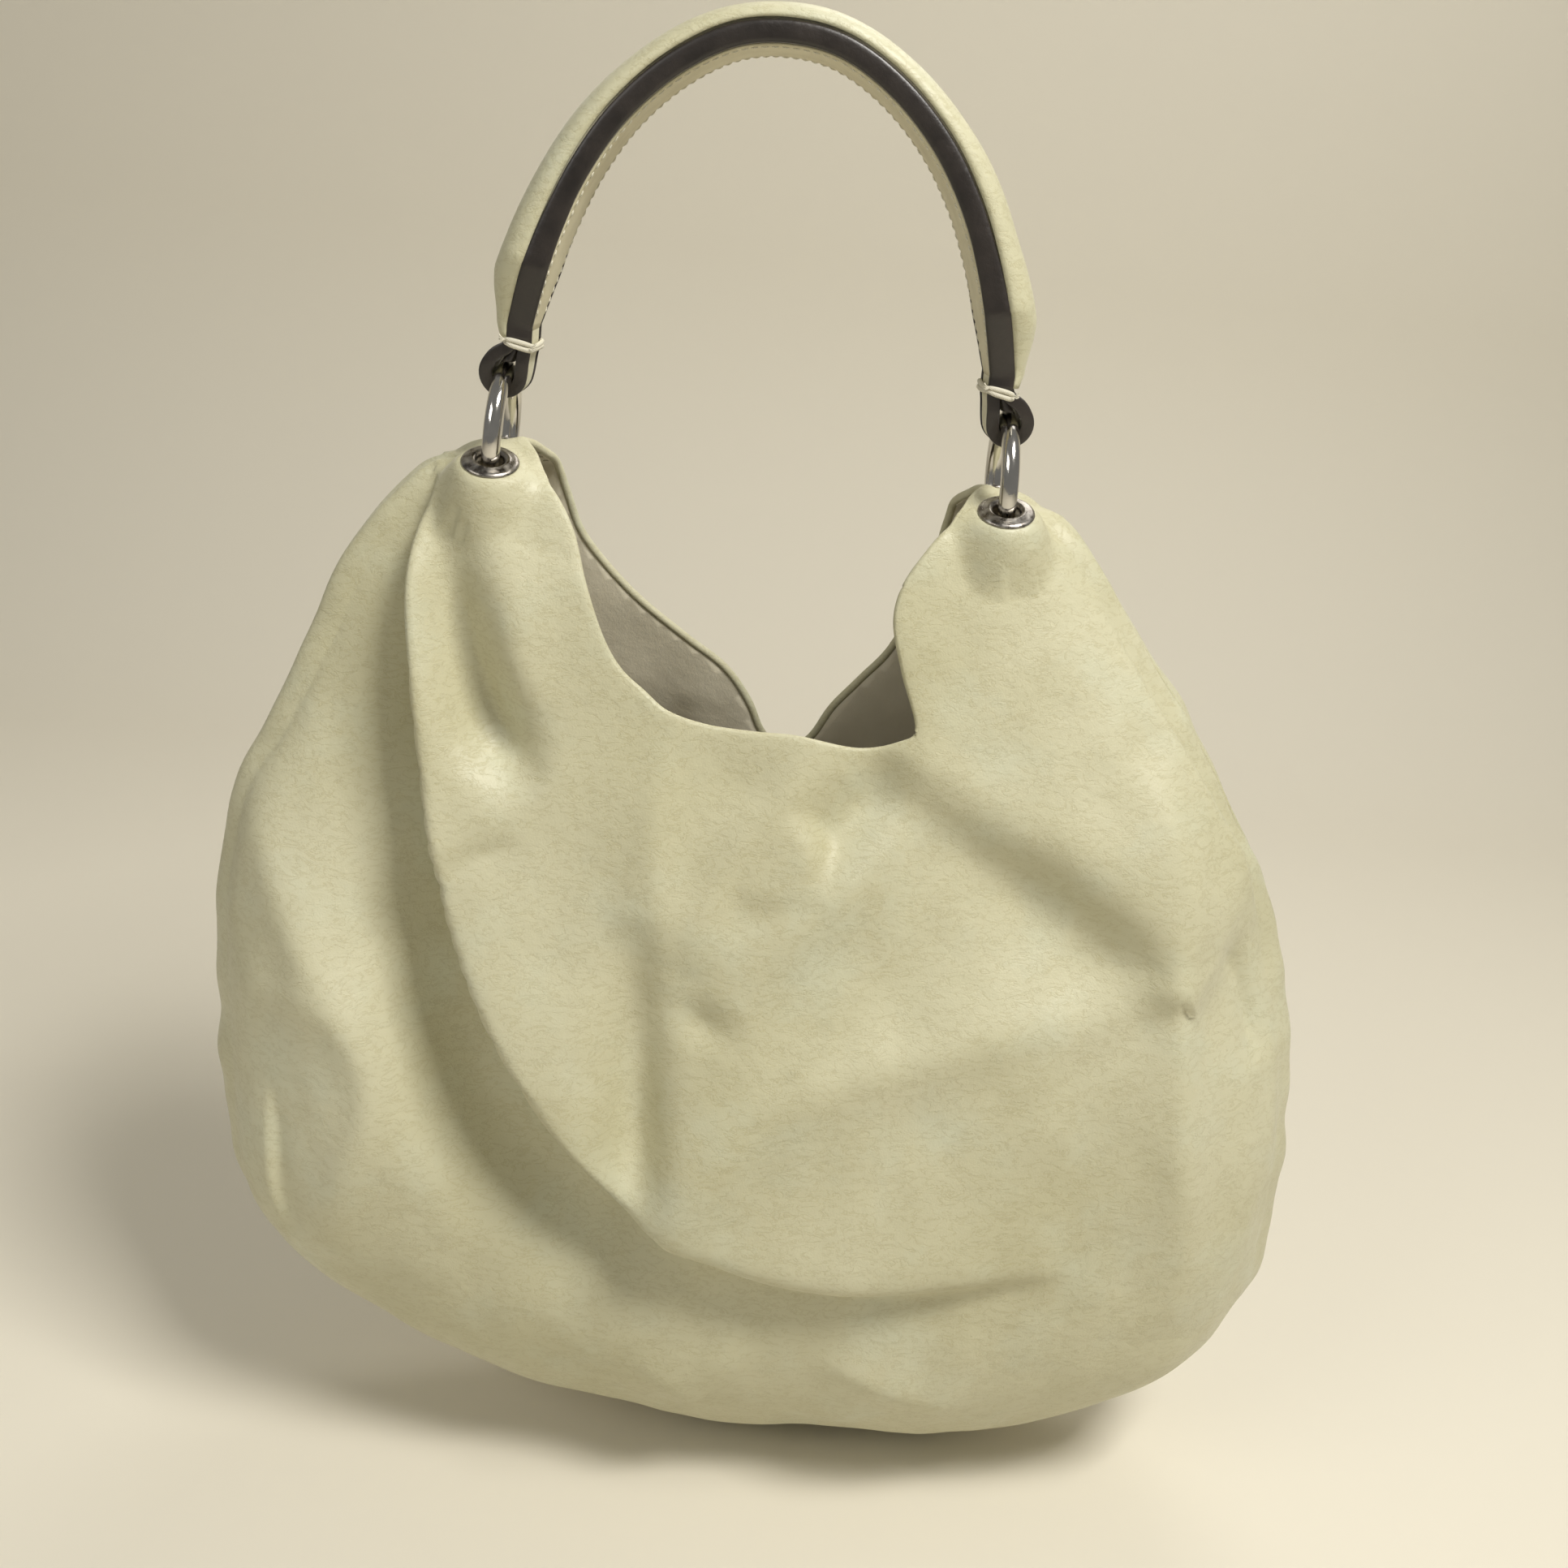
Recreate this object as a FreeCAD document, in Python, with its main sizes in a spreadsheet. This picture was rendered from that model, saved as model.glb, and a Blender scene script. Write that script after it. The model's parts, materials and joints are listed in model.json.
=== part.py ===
import FreeCAD, Part
import math
import os

# Hobo bag, millimetres. +Z is up, the front faces -Y, and the origin is the point
# under the middle of the strap where a hook or a hand carries the bag.

os.makedirs("parts", exist_ok=True)
doc = FreeCAD.newDocument("hobo_bag")
Vec = FreeCAD.Vector

# ---------------------------------------------------------------- driving sizes
SIZES = {
    # strap
    "strap_width": 46.0,
    "strap_edge_height": 9.0,
    "strap_edge_leather": 3.0,
    "strap_crown": 5.0,
    "strap_lining_gauge": 1.5,
    "strap_glue_line": 0.05,
    "strap_neck_half_span": 91.0,
    "strap_neck_drop": 108.0,
    "strap_neck_width": 26.0,
    "strap_taper_length": 22.0,
    "loop_radius": 10.0,
    "loop_width": 24.0,
    "loop_drop": 121.0,
    "tie_gauge": 1.3,
    "tie_height": 4.0,
    # rings
    "ring_radius": 23.0,
    "wire_radius": 3.5,
    "ring_half_span": 98.0,
    "ring_lean": 3.0,
    "ring_clearance": 0.5,
    # eyelets
    "eyelet_angle": 23.0,
    "eyelet_bore_radius": 5.3,
    "eyelet_wall": 0.9,
    "eyelet_face_radius": 11.0,
    "eyelet_dome_radius": 8.2,
    "eyelet_dome": 1.8,
    "eyelet_washer_radius": 10.0,
    "eyelet_washer_gauge": 0.6,
    "eyelet_fit": 0.1,
    "eyelet_hang": 0.4,
    # body
    "bag_left_reach": 213.0,
    "bag_right_reach": 268.0,
    "bag_half_depth": 82.0,
    "bag_height": 460.0,
    "leather_gauge": 1.8,
    "lining_gauge": 1.0,
    "patch_gauge": 1.0,
    "patch_radius": 15.0,
    "facing_drop": 164.0,
    "seam_tape_width": 12.0,
    # snap closure
    "snap_radius": 9.0,
    "snap_gauge": 3.0,
    "snap_stud_radius": 3.4,
    "snap_stud_height": 3.0,
    "snap_socket_radius": 3.9,
    "snap_centre_x": 22.0,
    "snap_drop": 148.0,
    # inner pocket
    "zip_length": 150.0,
    "zip_window_height": 14.0,
    "zip_frame_border": 8.0,
    "zip_centre_x": 18.0,
    "zip_drop": 196.0,
    "zip_tape_gauge": 1.0,
    "zip_chain_height": 4.0,
    "zip_slider_length": 9.0,
    "zip_slider_height": 8.0,
    "zip_slider_gauge": 3.0,
    "zip_gap": 0.4,
    "zip_end_gap": 4.0,
    "slider_eye_radius": 2.2,
    "slider_eye_width": 2.0,
    "slider_eye_reach": 2.6,
    "slider_hole_radius": 1.0,
    "pull_length": 24.0,
    "pull_width": 6.0,
    "pull_gauge": 1.6,
    "pull_pin_radius": 0.75,
    "pull_slot_half_width": 1.6,
    "pull_slot_depth": 4.0,
    "pouch_depth": 105.0,
    "pouch_gauge": 2.4,
}

sheet = doc.addObject("Spreadsheet::Sheet", "sizes")
for row, (alias, number) in enumerate(SIZES.items(), start=1):
    sheet.set(f"A{row}", alias)
    sheet.set(f"B{row}", str(number))
    sheet.setAlias(f"B{row}", alias)
doc.recompute()


def size(alias):
    return float(sheet.get(alias))


# The strap's centre line: (share of the half span, drop below the middle).
STRAP_CURVE = (
    (0.00, 0.0),
    (0.22, 3.2),
    (0.44, 14.5),
    (0.63, 31.0),
    (0.77, 50.0),
    (0.87, 70.0),
    (0.945, 90.0),
    (1.00, 108.0),
)

# The horn tops, measured from the ring centres: (drop, half depth, extra reach).
HORN_LEVELS = (
    (-0.5, 3.0, 12.0),
    (3.5, 13.0, 18.0),
    (9.0, 26.5, 26.0),
    (20.0, 36.0, 37.0),
)

# The body below the horns: shares of the bag's height, reaches and half depth.
BODY_LEVELS = (
    (0.107, 0.740, 0.590, 0.50),
    (0.170, 0.800, 0.680, 0.54),
    (0.242, 0.865, 0.770, 0.60),
    (0.330, 0.950, 0.865, 0.70),
    (0.427, 0.990, 0.935, 0.80),
    (0.543, 1.000, 0.980, 0.92),
    (0.660, 0.985, 1.000, 1.00),
    (0.757, 0.930, 0.995, 0.99),
    (0.838, 0.760, 0.930, 0.92),
    (0.905, 0.520, 0.820, 0.77),
    (0.960, 0.230, 0.680, 0.52),
    (1.000, -0.050, 0.500, 0.14),
)

# How square the body is seen from above: 2 is an ellipse.
FULLNESS = 3.0

# The mouth's edges seen from the front, from the left horn to the right horn:
# (x where the rings stand MOUTH_RING_SPAN out, drop below the ring centres).
MOUTH_RING_SPAN = 98.0
FRONT_MOUTH = (
    (-84.0, -30.0),
    (-82.0, 0.0),
    (-66.0, 28.0),
    (-57.0, 60.0),
    (-40.0, 86.0),
    (-16.0, 103.0),
    (20.0, 107.0),
    (56.0, 110.0),
    (74.0, 97.0),
    (66.0, 66.0),
    (66.0, 34.0),
    (84.0, 0.0),
    (86.0, -30.0),
)
BACK_MOUTH = (
    (-84.0, -30.0),
    (-82.0, 0.0),
    (-74.0, 40.0),
    (-46.0, 72.0),
    (-12.0, 96.0),
    (7.0, 117.0),
    (18.0, 135.0),
    (35.0, 135.0),
    (45.0, 118.0),
    (62.0, 92.0),
    (78.0, 56.0),
    (85.0, 0.0),
    (86.0, -30.0),
)

ring_z = -(size("loop_drop") + size("ring_radius"))
lean = math.radians(size("ring_lean"))
# How far the eyelets' cutting tools reach to each side of the leather's face.
EYELET_ROOM = 14.0
SIDES = (("left", -1), ("right", 1))
FACES = (("front", -1), ("back", 1))


# ---------------------------------------------------------------- small helpers
def add_shape(label, shape):
    """A document object that holds a finished shape."""
    feature = doc.addObject("Part::Feature", label)
    feature.Label = label
    feature.Shape = shape
    return feature


def cylinder(name, radius, height):
    """A cylinder along its own Z whose sizes follow the sheet."""
    solid = doc.addObject("Part::Cylinder", name)
    solid.setExpression("Radius", radius)
    solid.setExpression("Height", height)
    return solid


def cut(name, base, tool):
    result = doc.addObject("Part::Cut", name)
    result.Base = base
    result.Tool = tool
    return result


def fuse(name, shapes):
    result = doc.addObject("Part::MultiFuse", name)
    result.Shapes = shapes
    return result


def box_between(low, high):
    return Part.makeBox(high[0] - low[0], high[1] - low[1], high[2] - low[2], Vec(*low))


def spline(points):
    curve = Part.BSplineCurve()
    curve.interpolate([Vec(*point) for point in points])
    return curve


# ---------------------------------------------------------------- strap
def strap_points(side_offset):
    """The strap's line in the XZ plane, moved outwards by side_offset."""
    half_span = size("strap_neck_half_span")
    scale = size("strap_neck_drop") / STRAP_CURVE[-1][1]
    middle = size("strap_edge_height") / 2
    right = [(share * half_span, middle - drop * scale) for share, drop in STRAP_CURVE]
    left = [(-x, z) for x, z in right[:0:-1]]
    line = spline([(x, 0, z) for x, z in left + right])
    count = len(left) + len(right)
    offset = []
    first = line.FirstParameter
    last = line.LastParameter
    for step in range(2 * count - 1):
        parameter = first + (last - first) * step / (2 * count - 2)
        at = line.value(parameter)
        along = line.tangent(parameter)[0]
        outward = Vec(-along.z, 0, along.x)
        offset.append(at + outward * side_offset)
    return offset


def strap_band(inner, outer, half_width):
    """A band of the strap between two offsets from its line."""
    low = spline([(p.x, 0, p.z) for p in strap_points(inner)])
    high = spline([(p.x, 0, p.z) for p in strap_points(outer)])
    ends = (
        Part.LineSegment(low.EndPoint, high.EndPoint),
        Part.LineSegment(high.StartPoint, low.StartPoint),
    )
    wire = Part.Wire([low.toShape(), ends[0].toShape(), high.toShape(), ends[1].toShape()])
    face = Part.Face(wire)
    face.translate(Vec(0, -half_width, 0))
    band = face.extrude(Vec(0, 2 * half_width, 0))
    reach = size("strap_width") * 4
    floor = -size("strap_neck_drop") + size("tie_height")
    keep = box_between((-reach, -reach, floor), (reach, reach, reach))
    return band.common(keep)


def strap_plan(inset):
    """The strap's width seen from the side: full, then tapered down to the neck."""
    full = size("strap_width") / 2 - inset
    neck = size("strap_neck_width") / 2 - inset
    bottom = -size("strap_neck_drop") - size("tie_height")
    shoulder = -size("strap_neck_drop") + size("strap_taper_length")
    top = size("strap_width")
    outline = (
        (-neck, bottom),
        (-neck, -size("strap_neck_drop")),
        (-full, shoulder),
        (-full, top),
        (full, top),
        (full, shoulder),
        (neck, -size("strap_neck_drop")),
        (neck, bottom),
        (-neck, bottom),
    )
    reach = size("strap_neck_half_span") * 2
    face = Part.Face(Part.makePolygon([Vec(-reach, y, z) for y, z in outline]))
    return face.extrude(Vec(2 * reach, 0, 0))


def build_strap():
    half_edge = size("strap_edge_height") / 2
    half_width = size("strap_width") / 2
    edge_top = half_edge
    core_low = -half_edge + size("strap_lining_gauge")
    outer_plan = strap_plan(0.0)
    inner_plan = strap_plan(size("strap_edge_leather"))
    rim = strap_band(-half_edge, edge_top, half_width).common(outer_plan).cut(inner_plan)
    reach = size("strap_neck_half_span") * 2
    for name, sign in FACES:
        low = min(0, sign * reach)
        half_space = box_between((-reach, low, -reach), (reach, low + reach, reach))
        add_shape("strap_edge_" + name, rim.common(half_space))
    core = strap_band(core_low, edge_top, half_width)
    add_shape("strap_core", core.common(inner_plan))
    lining = strap_band(-half_edge, core_low, half_width)
    add_shape("strap_lining", lining.common(inner_plan))
    crown_low = edge_top + size("strap_glue_line")
    crown = strap_band(crown_low, edge_top + size("strap_crown"), half_width)
    add_shape("strap_cover", crown.common(strap_plan(size("strap_edge_leather") / 2)))


def ring_torus(sign, wire_radius, name):
    """A ring of wire that stands nearly in the YZ plane, its top leaning inwards."""
    torus = doc.addObject("Part::Torus", name)
    torus.setExpression("Radius1", "sizes.ring_radius")
    torus.setExpression("Radius2", wire_radius)
    centre = Vec(sign * size("ring_half_span"), 0, ring_z)
    turn = FreeCAD.Rotation(Vec(0, 1, 0), 90 - sign * size("ring_lean"))
    torus.Placement = FreeCAD.Placement(centre, turn)
    return torus


def build_strap_end(side, sign):
    """The tab that loops round the ring, and the thread that ties its neck."""
    top_shift = size("ring_radius") * math.sin(lean)
    loop_x = sign * (size("ring_half_span") - top_shift)
    loop_z = ring_z + size("ring_radius") * math.cos(lean)
    neck_x = sign * size("strap_neck_half_span")
    neck_top = -size("strap_neck_drop") + size("tie_height")
    half_edge = size("strap_edge_height") / 2
    half_loop = size("loop_width") / 2
    roll = Part.makeCylinder(
        size("loop_radius"), 2 * half_loop, Vec(loop_x, -half_loop, loop_z), Vec(0, 1, 0)
    )
    corners = (
        (neck_x - half_edge, neck_top),
        (neck_x + half_edge, neck_top),
        (loop_x + size("loop_radius") * 0.8, loop_z),
        (loop_x - size("loop_radius") * 0.8, loop_z),
        (neck_x - half_edge, neck_top),
    )
    face = Part.Face(Part.makePolygon([Vec(x, -half_loop, z) for x, z in corners]))
    neck = face.extrude(Vec(0, 2 * half_loop, 0))
    tunnel_radius = size("wire_radius") + size("ring_clearance")
    tunnel = Part.makeTorus(size("ring_radius"), tunnel_radius)
    turn = FreeCAD.Rotation(Vec(0, 1, 0), 90 - sign * size("ring_lean"))
    centre = Vec(sign * size("ring_half_span"), 0, ring_z)
    tunnel.Placement = FreeCAD.Placement(centre, turn)
    tab = roll.fuse(neck).cut(tunnel)
    tie_z = -size("strap_neck_drop") - size("tie_height") / 2
    half_tie = size("tie_height") / 2
    gauge = size("tie_gauge")
    wide = half_edge + 3 * gauge
    outer = box_between(
        (neck_x - wide, -half_loop - gauge, tie_z - half_tie),
        (neck_x + wide, half_loop + gauge, tie_z + half_tie),
    )
    hole = box_between(
        (neck_x - wide + gauge, -half_loop, tie_z - half_tie),
        (neck_x + wide - gauge, half_loop, tie_z + half_tie),
    )
    add_shape("thread_tie_" + side, outer.cut(hole).cut(tab))
    add_shape("strap_tab_" + side, tab)


# ---------------------------------------------------------------- body
def body_levels():
    """(z, left reach, right reach, half depth) from the horn tops to the base."""
    levels = []
    for drop, half_depth, extra in HORN_LEVELS:
        reach = size("ring_half_span") + extra
        levels.append((ring_z - drop, -reach, reach, half_depth))
    for drop, left, right, depth in BODY_LEVELS:
        levels.append(
            (
                ring_z - drop * size("bag_height"),
                -left * size("bag_left_reach"),
                right * size("bag_right_reach"),
                depth * size("bag_half_depth"),
            )
        )
    return levels


def inset_levels(inset):
    """The same levels moved inwards by a wall, square to the profile."""
    levels = body_levels()
    moved = []
    for index, (z, left, right, half_depth) in enumerate(levels):
        above = levels[max(index - 1, 0)]
        below = levels[min(index + 1, len(levels) - 1)]
        rise = above[0] - below[0]
        run = above[3] - below[3]
        length = math.hypot(rise, run)
        across = rise / length
        up = -run / length
        moved.append(
            (
                z - inset * up,
                left + inset * 1.1,
                right - inset * 1.1,
                max(half_depth - inset * across, 0.4),
            )
        )
    return moved


def half_body(sign, inset):
    """One half of the body, front or back, up to the plane of the side seams."""
    wires = []
    steps = 12
    for z, left, right, half_depth in inset_levels(inset):
        middle = (left + right) / 2
        half = (right - left) / 2
        outline = []
        for step in range(steps + 1):
            share = -math.cos(math.pi * step / steps)
            bulge = (1 - abs(share) ** FULLNESS) ** (1 / FULLNESS)
            outline.append((middle + half * share, sign * half_depth * bulge, z))
        curve = spline(outline)
        chord = Part.LineSegment(curve.EndPoint, curve.StartPoint)
        wires.append(Part.Wire([curve.toShape(), chord.toShape()]))
    return Part.makeLoft(wires, True, True)


def mouth_tool(sign, outline):
    """What the mouth takes out of one half of the body."""
    spread = size("ring_half_span") / MOUTH_RING_SPAN
    points = [(x * spread, 0, ring_z - drop) for x, drop in outline]
    curve = spline(points)
    lid = Part.LineSegment(curve.EndPoint, curve.StartPoint)
    face = Part.Face(Part.Wire([curve.toShape(), lid.toShape()]))
    return face.extrude(Vec(0, sign * 2 * size("bag_half_depth"), 0))


def eyelet_frame(side_sign, face_sign):
    """Where the ring's wire passes the leather, and the wire's way out of the bag."""
    angle = math.radians(size("eyelet_angle"))
    radius = size("ring_radius") + size("eyelet_hang")
    along = math.cos(angle)
    down = math.sin(angle)
    lean_x = -side_sign * math.sin(lean)
    lean_z = math.cos(lean)
    centre = Vec(
        side_sign * size("ring_half_span") - radius * down * lean_x,
        face_sign * radius * along,
        ring_z - radius * down * lean_z,
    )
    outward = Vec(along * lean_x, face_sign * down, along * lean_z)
    return centre, outward


def eyelet_relief(side_sign, face_sign):
    """The room an eyelet and its washer take in the layers they clamp."""
    centre, outward = eyelet_frame(side_sign, face_sign)
    hole_radius = size("eyelet_bore_radius") + size("eyelet_wall") + size("eyelet_fit")
    depth = size("leather_gauge") + size("lining_gauge") + size("patch_gauge")
    room = EYELET_ROOM
    bore = Part.makeCylinder(hole_radius, 2 * room, centre - outward * room, outward)
    seat_radius = size("eyelet_face_radius") + size("eyelet_fit")
    seat = Part.makeCylinder(seat_radius, room, centre, outward)
    clamp_radius = size("eyelet_washer_radius") + size("eyelet_fit")
    clamp = Part.makeCylinder(clamp_radius, room / 2, centre - outward * depth, outward * -1)
    return bore.fuse(seat).fuse(clamp)


def build_eyelet(side, side_sign, face, face_sign):
    centre, outward = eyelet_frame(side_sign, face_sign)
    name = "eyelet_" + side + "_" + face
    dome = doc.addObject("Part::Cone", name + "_dome")
    dome.setExpression("Radius1", "sizes.eyelet_face_radius")
    dome.setExpression("Radius2", "sizes.eyelet_dome_radius")
    dome.setExpression("Height", "sizes.eyelet_dome")
    layers = "sizes.leather_gauge + sizes.lining_gauge + sizes.patch_gauge"
    length = layers + " + sizes.eyelet_washer_gauge"
    barrel = cylinder(
        name + "_barrel", "sizes.eyelet_bore_radius + sizes.eyelet_wall", length
    )
    depth = sum(size(k) for k in ("leather_gauge", "lining_gauge", "patch_gauge"))
    depth += size("eyelet_washer_gauge")
    barrel.Placement.Base = Vec(0, 0, -depth)
    bore = cylinder(name + "_bore", "sizes.eyelet_bore_radius", length + " + 10")
    bore.Placement.Base = Vec(0, 0, -depth - 5)
    eyelet = cut(name, fuse(name + "_body", [dome, barrel]), bore)
    eyelet.Label = name
    eyelet.Placement = FreeCAD.Placement(centre, FreeCAD.Rotation(Vec(0, 0, 1), outward))
    outer = cylinder(
        name + "_washer_disc", "sizes.eyelet_washer_radius", "sizes.eyelet_washer_gauge"
    )
    washer_bore = "sizes.eyelet_bore_radius + sizes.eyelet_wall + 0.01"
    inner = cylinder(name + "_washer_bore", washer_bore, "sizes.eyelet_washer_gauge")
    washer = cut("eyelet_washer_" + side + "_" + face, outer, inner)
    washer.Label = "eyelet_washer_" + side + "_" + face
    washer.Placement = FreeCAD.Placement(
        centre - outward * depth, FreeCAD.Rotation(Vec(0, 0, 1), outward)
    )
    return [eyelet, washer]


def wall_y(x, z, inset):
    """The half depth of the inner wall at x and z, read from the levels."""
    levels = inset_levels(inset)
    for upper, lower in zip(levels, levels[1:]):
        if lower[0] <= z <= upper[0]:
            share = (upper[0] - z) / (upper[0] - lower[0])
            left = upper[1] + share * (lower[1] - upper[1])
            right = upper[2] + share * (lower[2] - upper[2])
            depth = upper[3] + share * (lower[3] - upper[3])
            along = (x - (left + right) / 2) / ((right - left) / 2)
            return depth * (1 - abs(along) ** FULLNESS) ** (1 / FULLNESS)
    raise ValueError("z is outside the body")


def snap_seat(face_sign):
    """The middle of the snap's back, on the facing, and the way it faces."""
    x = size("snap_centre_x")
    z = ring_z - size("snap_drop")
    inset = size("leather_gauge") + size("lining_gauge")
    lowest = min(wall_y(x, z + dz, inset) for dz in (-size("snap_radius"), size("snap_radius")))
    return Vec(x, face_sign * lowest, z), Vec(0, -face_sign, 0)


def build_snap():
    """A magnetic snap: the stud on the front facing, the socket on the back one."""
    seat, inward = snap_seat(-1)
    disc = cylinder("snap_stud_disc", "sizes.snap_radius", "sizes.snap_gauge")
    pin = cylinder(
        "snap_stud_pin", "sizes.snap_stud_radius", "sizes.snap_gauge + sizes.snap_stud_height"
    )
    stud = fuse("snap_stud", [disc, pin])
    stud.Placement = FreeCAD.Placement(seat, FreeCAD.Rotation(Vec(0, 0, 1), inward))
    seat, inward = snap_seat(1)
    case = cylinder("snap_socket_case", "sizes.snap_radius", "sizes.snap_gauge + 1")
    well = cylinder("snap_socket_well", "sizes.snap_socket_radius", "sizes.snap_stud_height + 1")
    well.Placement.Base = Vec(0, 0, 1)
    socket = cut("snap_socket", case, well)
    socket.Placement = FreeCAD.Placement(seat, FreeCAD.Rotation(Vec(0, 0, 1), inward))


def snap_relief(face_sign):
    seat, inward = snap_seat(face_sign)
    return Part.makeCylinder(size("snap_radius") + 0.05, 12.0, seat, inward)


def zip_box(half_length, half_height, drop=0.0):
    """A block through the back wall round the pocket's zip."""
    x = size("zip_centre_x")
    z = ring_z - size("zip_drop") - drop
    reach = 2 * size("bag_half_depth")
    return box_between(
        (x - half_length, 0, z - half_height), (x + half_length, reach, z + half_height)
    )


def build_body():
    leather = size("leather_gauge")
    lined = leather + size("lining_gauge")
    patched = lined + size("patch_gauge")
    pouch_in = lined + size("pouch_gauge")
    reach = 2 * size("bag_height")
    facing_z = ring_z - size("facing_drop")
    above = box_between((-reach, -reach, facing_z), (reach, reach, reach))
    half_tape = size("seam_tape_width") / 2
    tape_zone = box_between((-reach, -half_tape, -reach), (reach, half_tape, reach))
    tapes = []
    for face, face_sign in FACES:
        mouth = mouth_tool(face_sign, FRONT_MOUTH if face == "front" else BACK_MOUTH)
        outer = half_body(face_sign, 0.0)
        middle = half_body(face_sign, leather)
        inner = half_body(face_sign, lined)
        reliefs = [eyelet_relief(sign, face_sign) for _, sign in SIDES]
        panel = outer.cut(middle).cut(mouth).cut(reliefs)
        add_shape(face + "_panel", panel)
        wall = middle.cut(inner).cut(mouth).cut(reliefs)
        wall = wall.cut(snap_relief(face_sign))
        tapes.append(wall.common(tape_zone).cut(above))
        add_shape(face + "_facing", wall.common(above))
        lining = wall.cut(above).cut(tape_zone)
        add_shape(face + "_lining", lining)
        patch_shell = inner.cut(half_body(face_sign, patched)).cut(mouth)
        for side, side_sign in SIDES:
            centre, outward = eyelet_frame(side_sign, face_sign)
            disc = Part.makeCylinder(
                size("patch_radius"), 2 * EYELET_ROOM, centre - outward * EYELET_ROOM, outward
            )
            patch = patch_shell.common(disc).cut(reliefs)
            add_shape("horn_patch_" + side + "_" + face, patch)
        if face == "back":
            build_pocket(inner, pouch_in)
    seam_tape = tapes[0].fuse(tapes[1]).removeSplitter()
    add_shape("seam_tape", seam_tape)


def build_pocket(inner, pouch_in):
    """The zipped pocket on the back lining: frame, tape, chain and pouch."""
    half_length = size("zip_length") / 2
    half_window = size("zip_window_height") / 2
    border = size("zip_frame_border")
    shell = inner.cut(half_body(1, pouch_in))
    window = zip_box(half_length, half_window)
    frame = shell.common(zip_box(half_length + border, half_window + border)).cut(window)
    add_shape("zip_frame", frame)
    lined = size("leather_gauge") + size("lining_gauge")
    tape_shell = inner.cut(half_body(1, lined + size("zip_tape_gauge")))
    add_shape("zip_tape", tape_shell.common(window))
    chain_shell = half_body(1, lined + size("zip_tape_gauge")).cut(half_body(1, pouch_in))
    chain = chain_shell.common(zip_box(half_length, size("zip_chain_height") / 2))
    add_shape("zip_chain", chain)
    drop = half_window + border + size("pouch_depth") / 2
    pouch = shell.common(zip_box(half_length + border, size("pouch_depth") / 2, drop))
    add_shape("pocket_pouch", pouch)


def build_slider():
    """The zip's slider at the closed end, and the pull that hangs from it."""
    lined = size("leather_gauge") + size("lining_gauge") + size("pouch_gauge")
    z = ring_z - size("zip_drop")
    half_height = size("zip_slider_height") / 2
    half_length = size("zip_slider_length") / 2
    centre_x = size("zip_centre_x")
    start_x = centre_x - size("zip_length") / 2 + half_length + size("zip_end_gap")
    near = min(
        wall_y(x, z + dz, lined)
        for x in (start_x, centre_x, 2 * centre_x - start_x)
        for dz in (-half_height, half_height)
    )
    back_y = near - size("zip_gap")
    gauge = size("zip_slider_gauge")
    plate = box_between(
        (start_x - half_length, back_y - gauge, z - half_height),
        (start_x + half_length, back_y, z + half_height),
    )
    eye_radius = size("slider_eye_radius")
    half_eye = size("slider_eye_width") / 2
    hinge_y = back_y - gauge - size("slider_eye_reach")
    eye = box_between(
        (start_x - half_eye, hinge_y - eye_radius, z - eye_radius),
        (start_x + half_eye, back_y - gauge, z + eye_radius),
    )
    along = Vec(1, 0, 0)
    hole_start = Vec(start_x - 2 * half_length, hinge_y, z)
    pin_hole = Part.makeCylinder(size("slider_hole_radius"), 4 * half_length, hole_start, along)
    add_shape("zip_slider", plate.fuse(eye).cut(pin_hole))
    half_pull = size("pull_width") / 2
    half_gauge = size("pull_gauge") / 2
    pin_start = Vec(start_x - half_pull, hinge_y, z)
    pin = Part.makeCylinder(size("pull_pin_radius"), 2 * half_pull, pin_start, along)
    half_slot = size("pull_slot_half_width")
    slot_depth = size("pull_slot_depth")
    cheeks = []
    for sign in (-1, 1):
        low_x = start_x + (half_slot if sign > 0 else -half_pull)
        cheeks.append(
            box_between(
                (low_x, hinge_y - half_gauge, z - slot_depth - 1.0),
                (low_x + half_pull - half_slot, hinge_y + half_gauge, z + half_gauge),
            )
        )
    blade = box_between(
        (start_x - half_pull, hinge_y - half_gauge, z - size("pull_length")),
        (start_x + half_pull, hinge_y + half_gauge, z - slot_depth),
    )
    add_shape("zip_pull", pin.fuse(cheeks).fuse(blade).removeSplitter())


# ---------------------------------------------------------------- build
build_strap()
for side, sign in SIDES:
    build_strap_end(side, sign)
    ring = ring_torus(sign, "sizes.wire_radius", "ring_" + side)
    ring.Label = "ring_" + side
for side, side_sign in SIDES:
    for face, face_sign in FACES:
        build_eyelet(side, side_sign, face, face_sign)
build_snap()
build_body()
build_slider()
doc.recompute()

NODES = ["strap_core", "strap_cover", "strap_lining", "strap_edge_front", "strap_edge_back"]
for side, _ in SIDES:
    NODES += ["strap_tab_" + side, "thread_tie_" + side, "ring_" + side]
    for face, _ in FACES:
        NODES += ["eyelet_" + side + "_" + face, "eyelet_washer_" + side + "_" + face]
        NODES.append("horn_patch_" + side + "_" + face)
for face, _ in FACES:
    NODES += [face + "_panel", face + "_facing", face + "_lining"]
NODES += ["seam_tape", "snap_stud", "snap_socket"]
NODES += ["zip_frame", "zip_tape", "zip_chain", "pocket_pouch", "zip_slider", "zip_pull"]

for item in doc.Objects:
    if "Invalid" in item.State or "Error" in item.State:
        raise RuntimeError(item.Name + " did not build: " + str(item.State))

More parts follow.
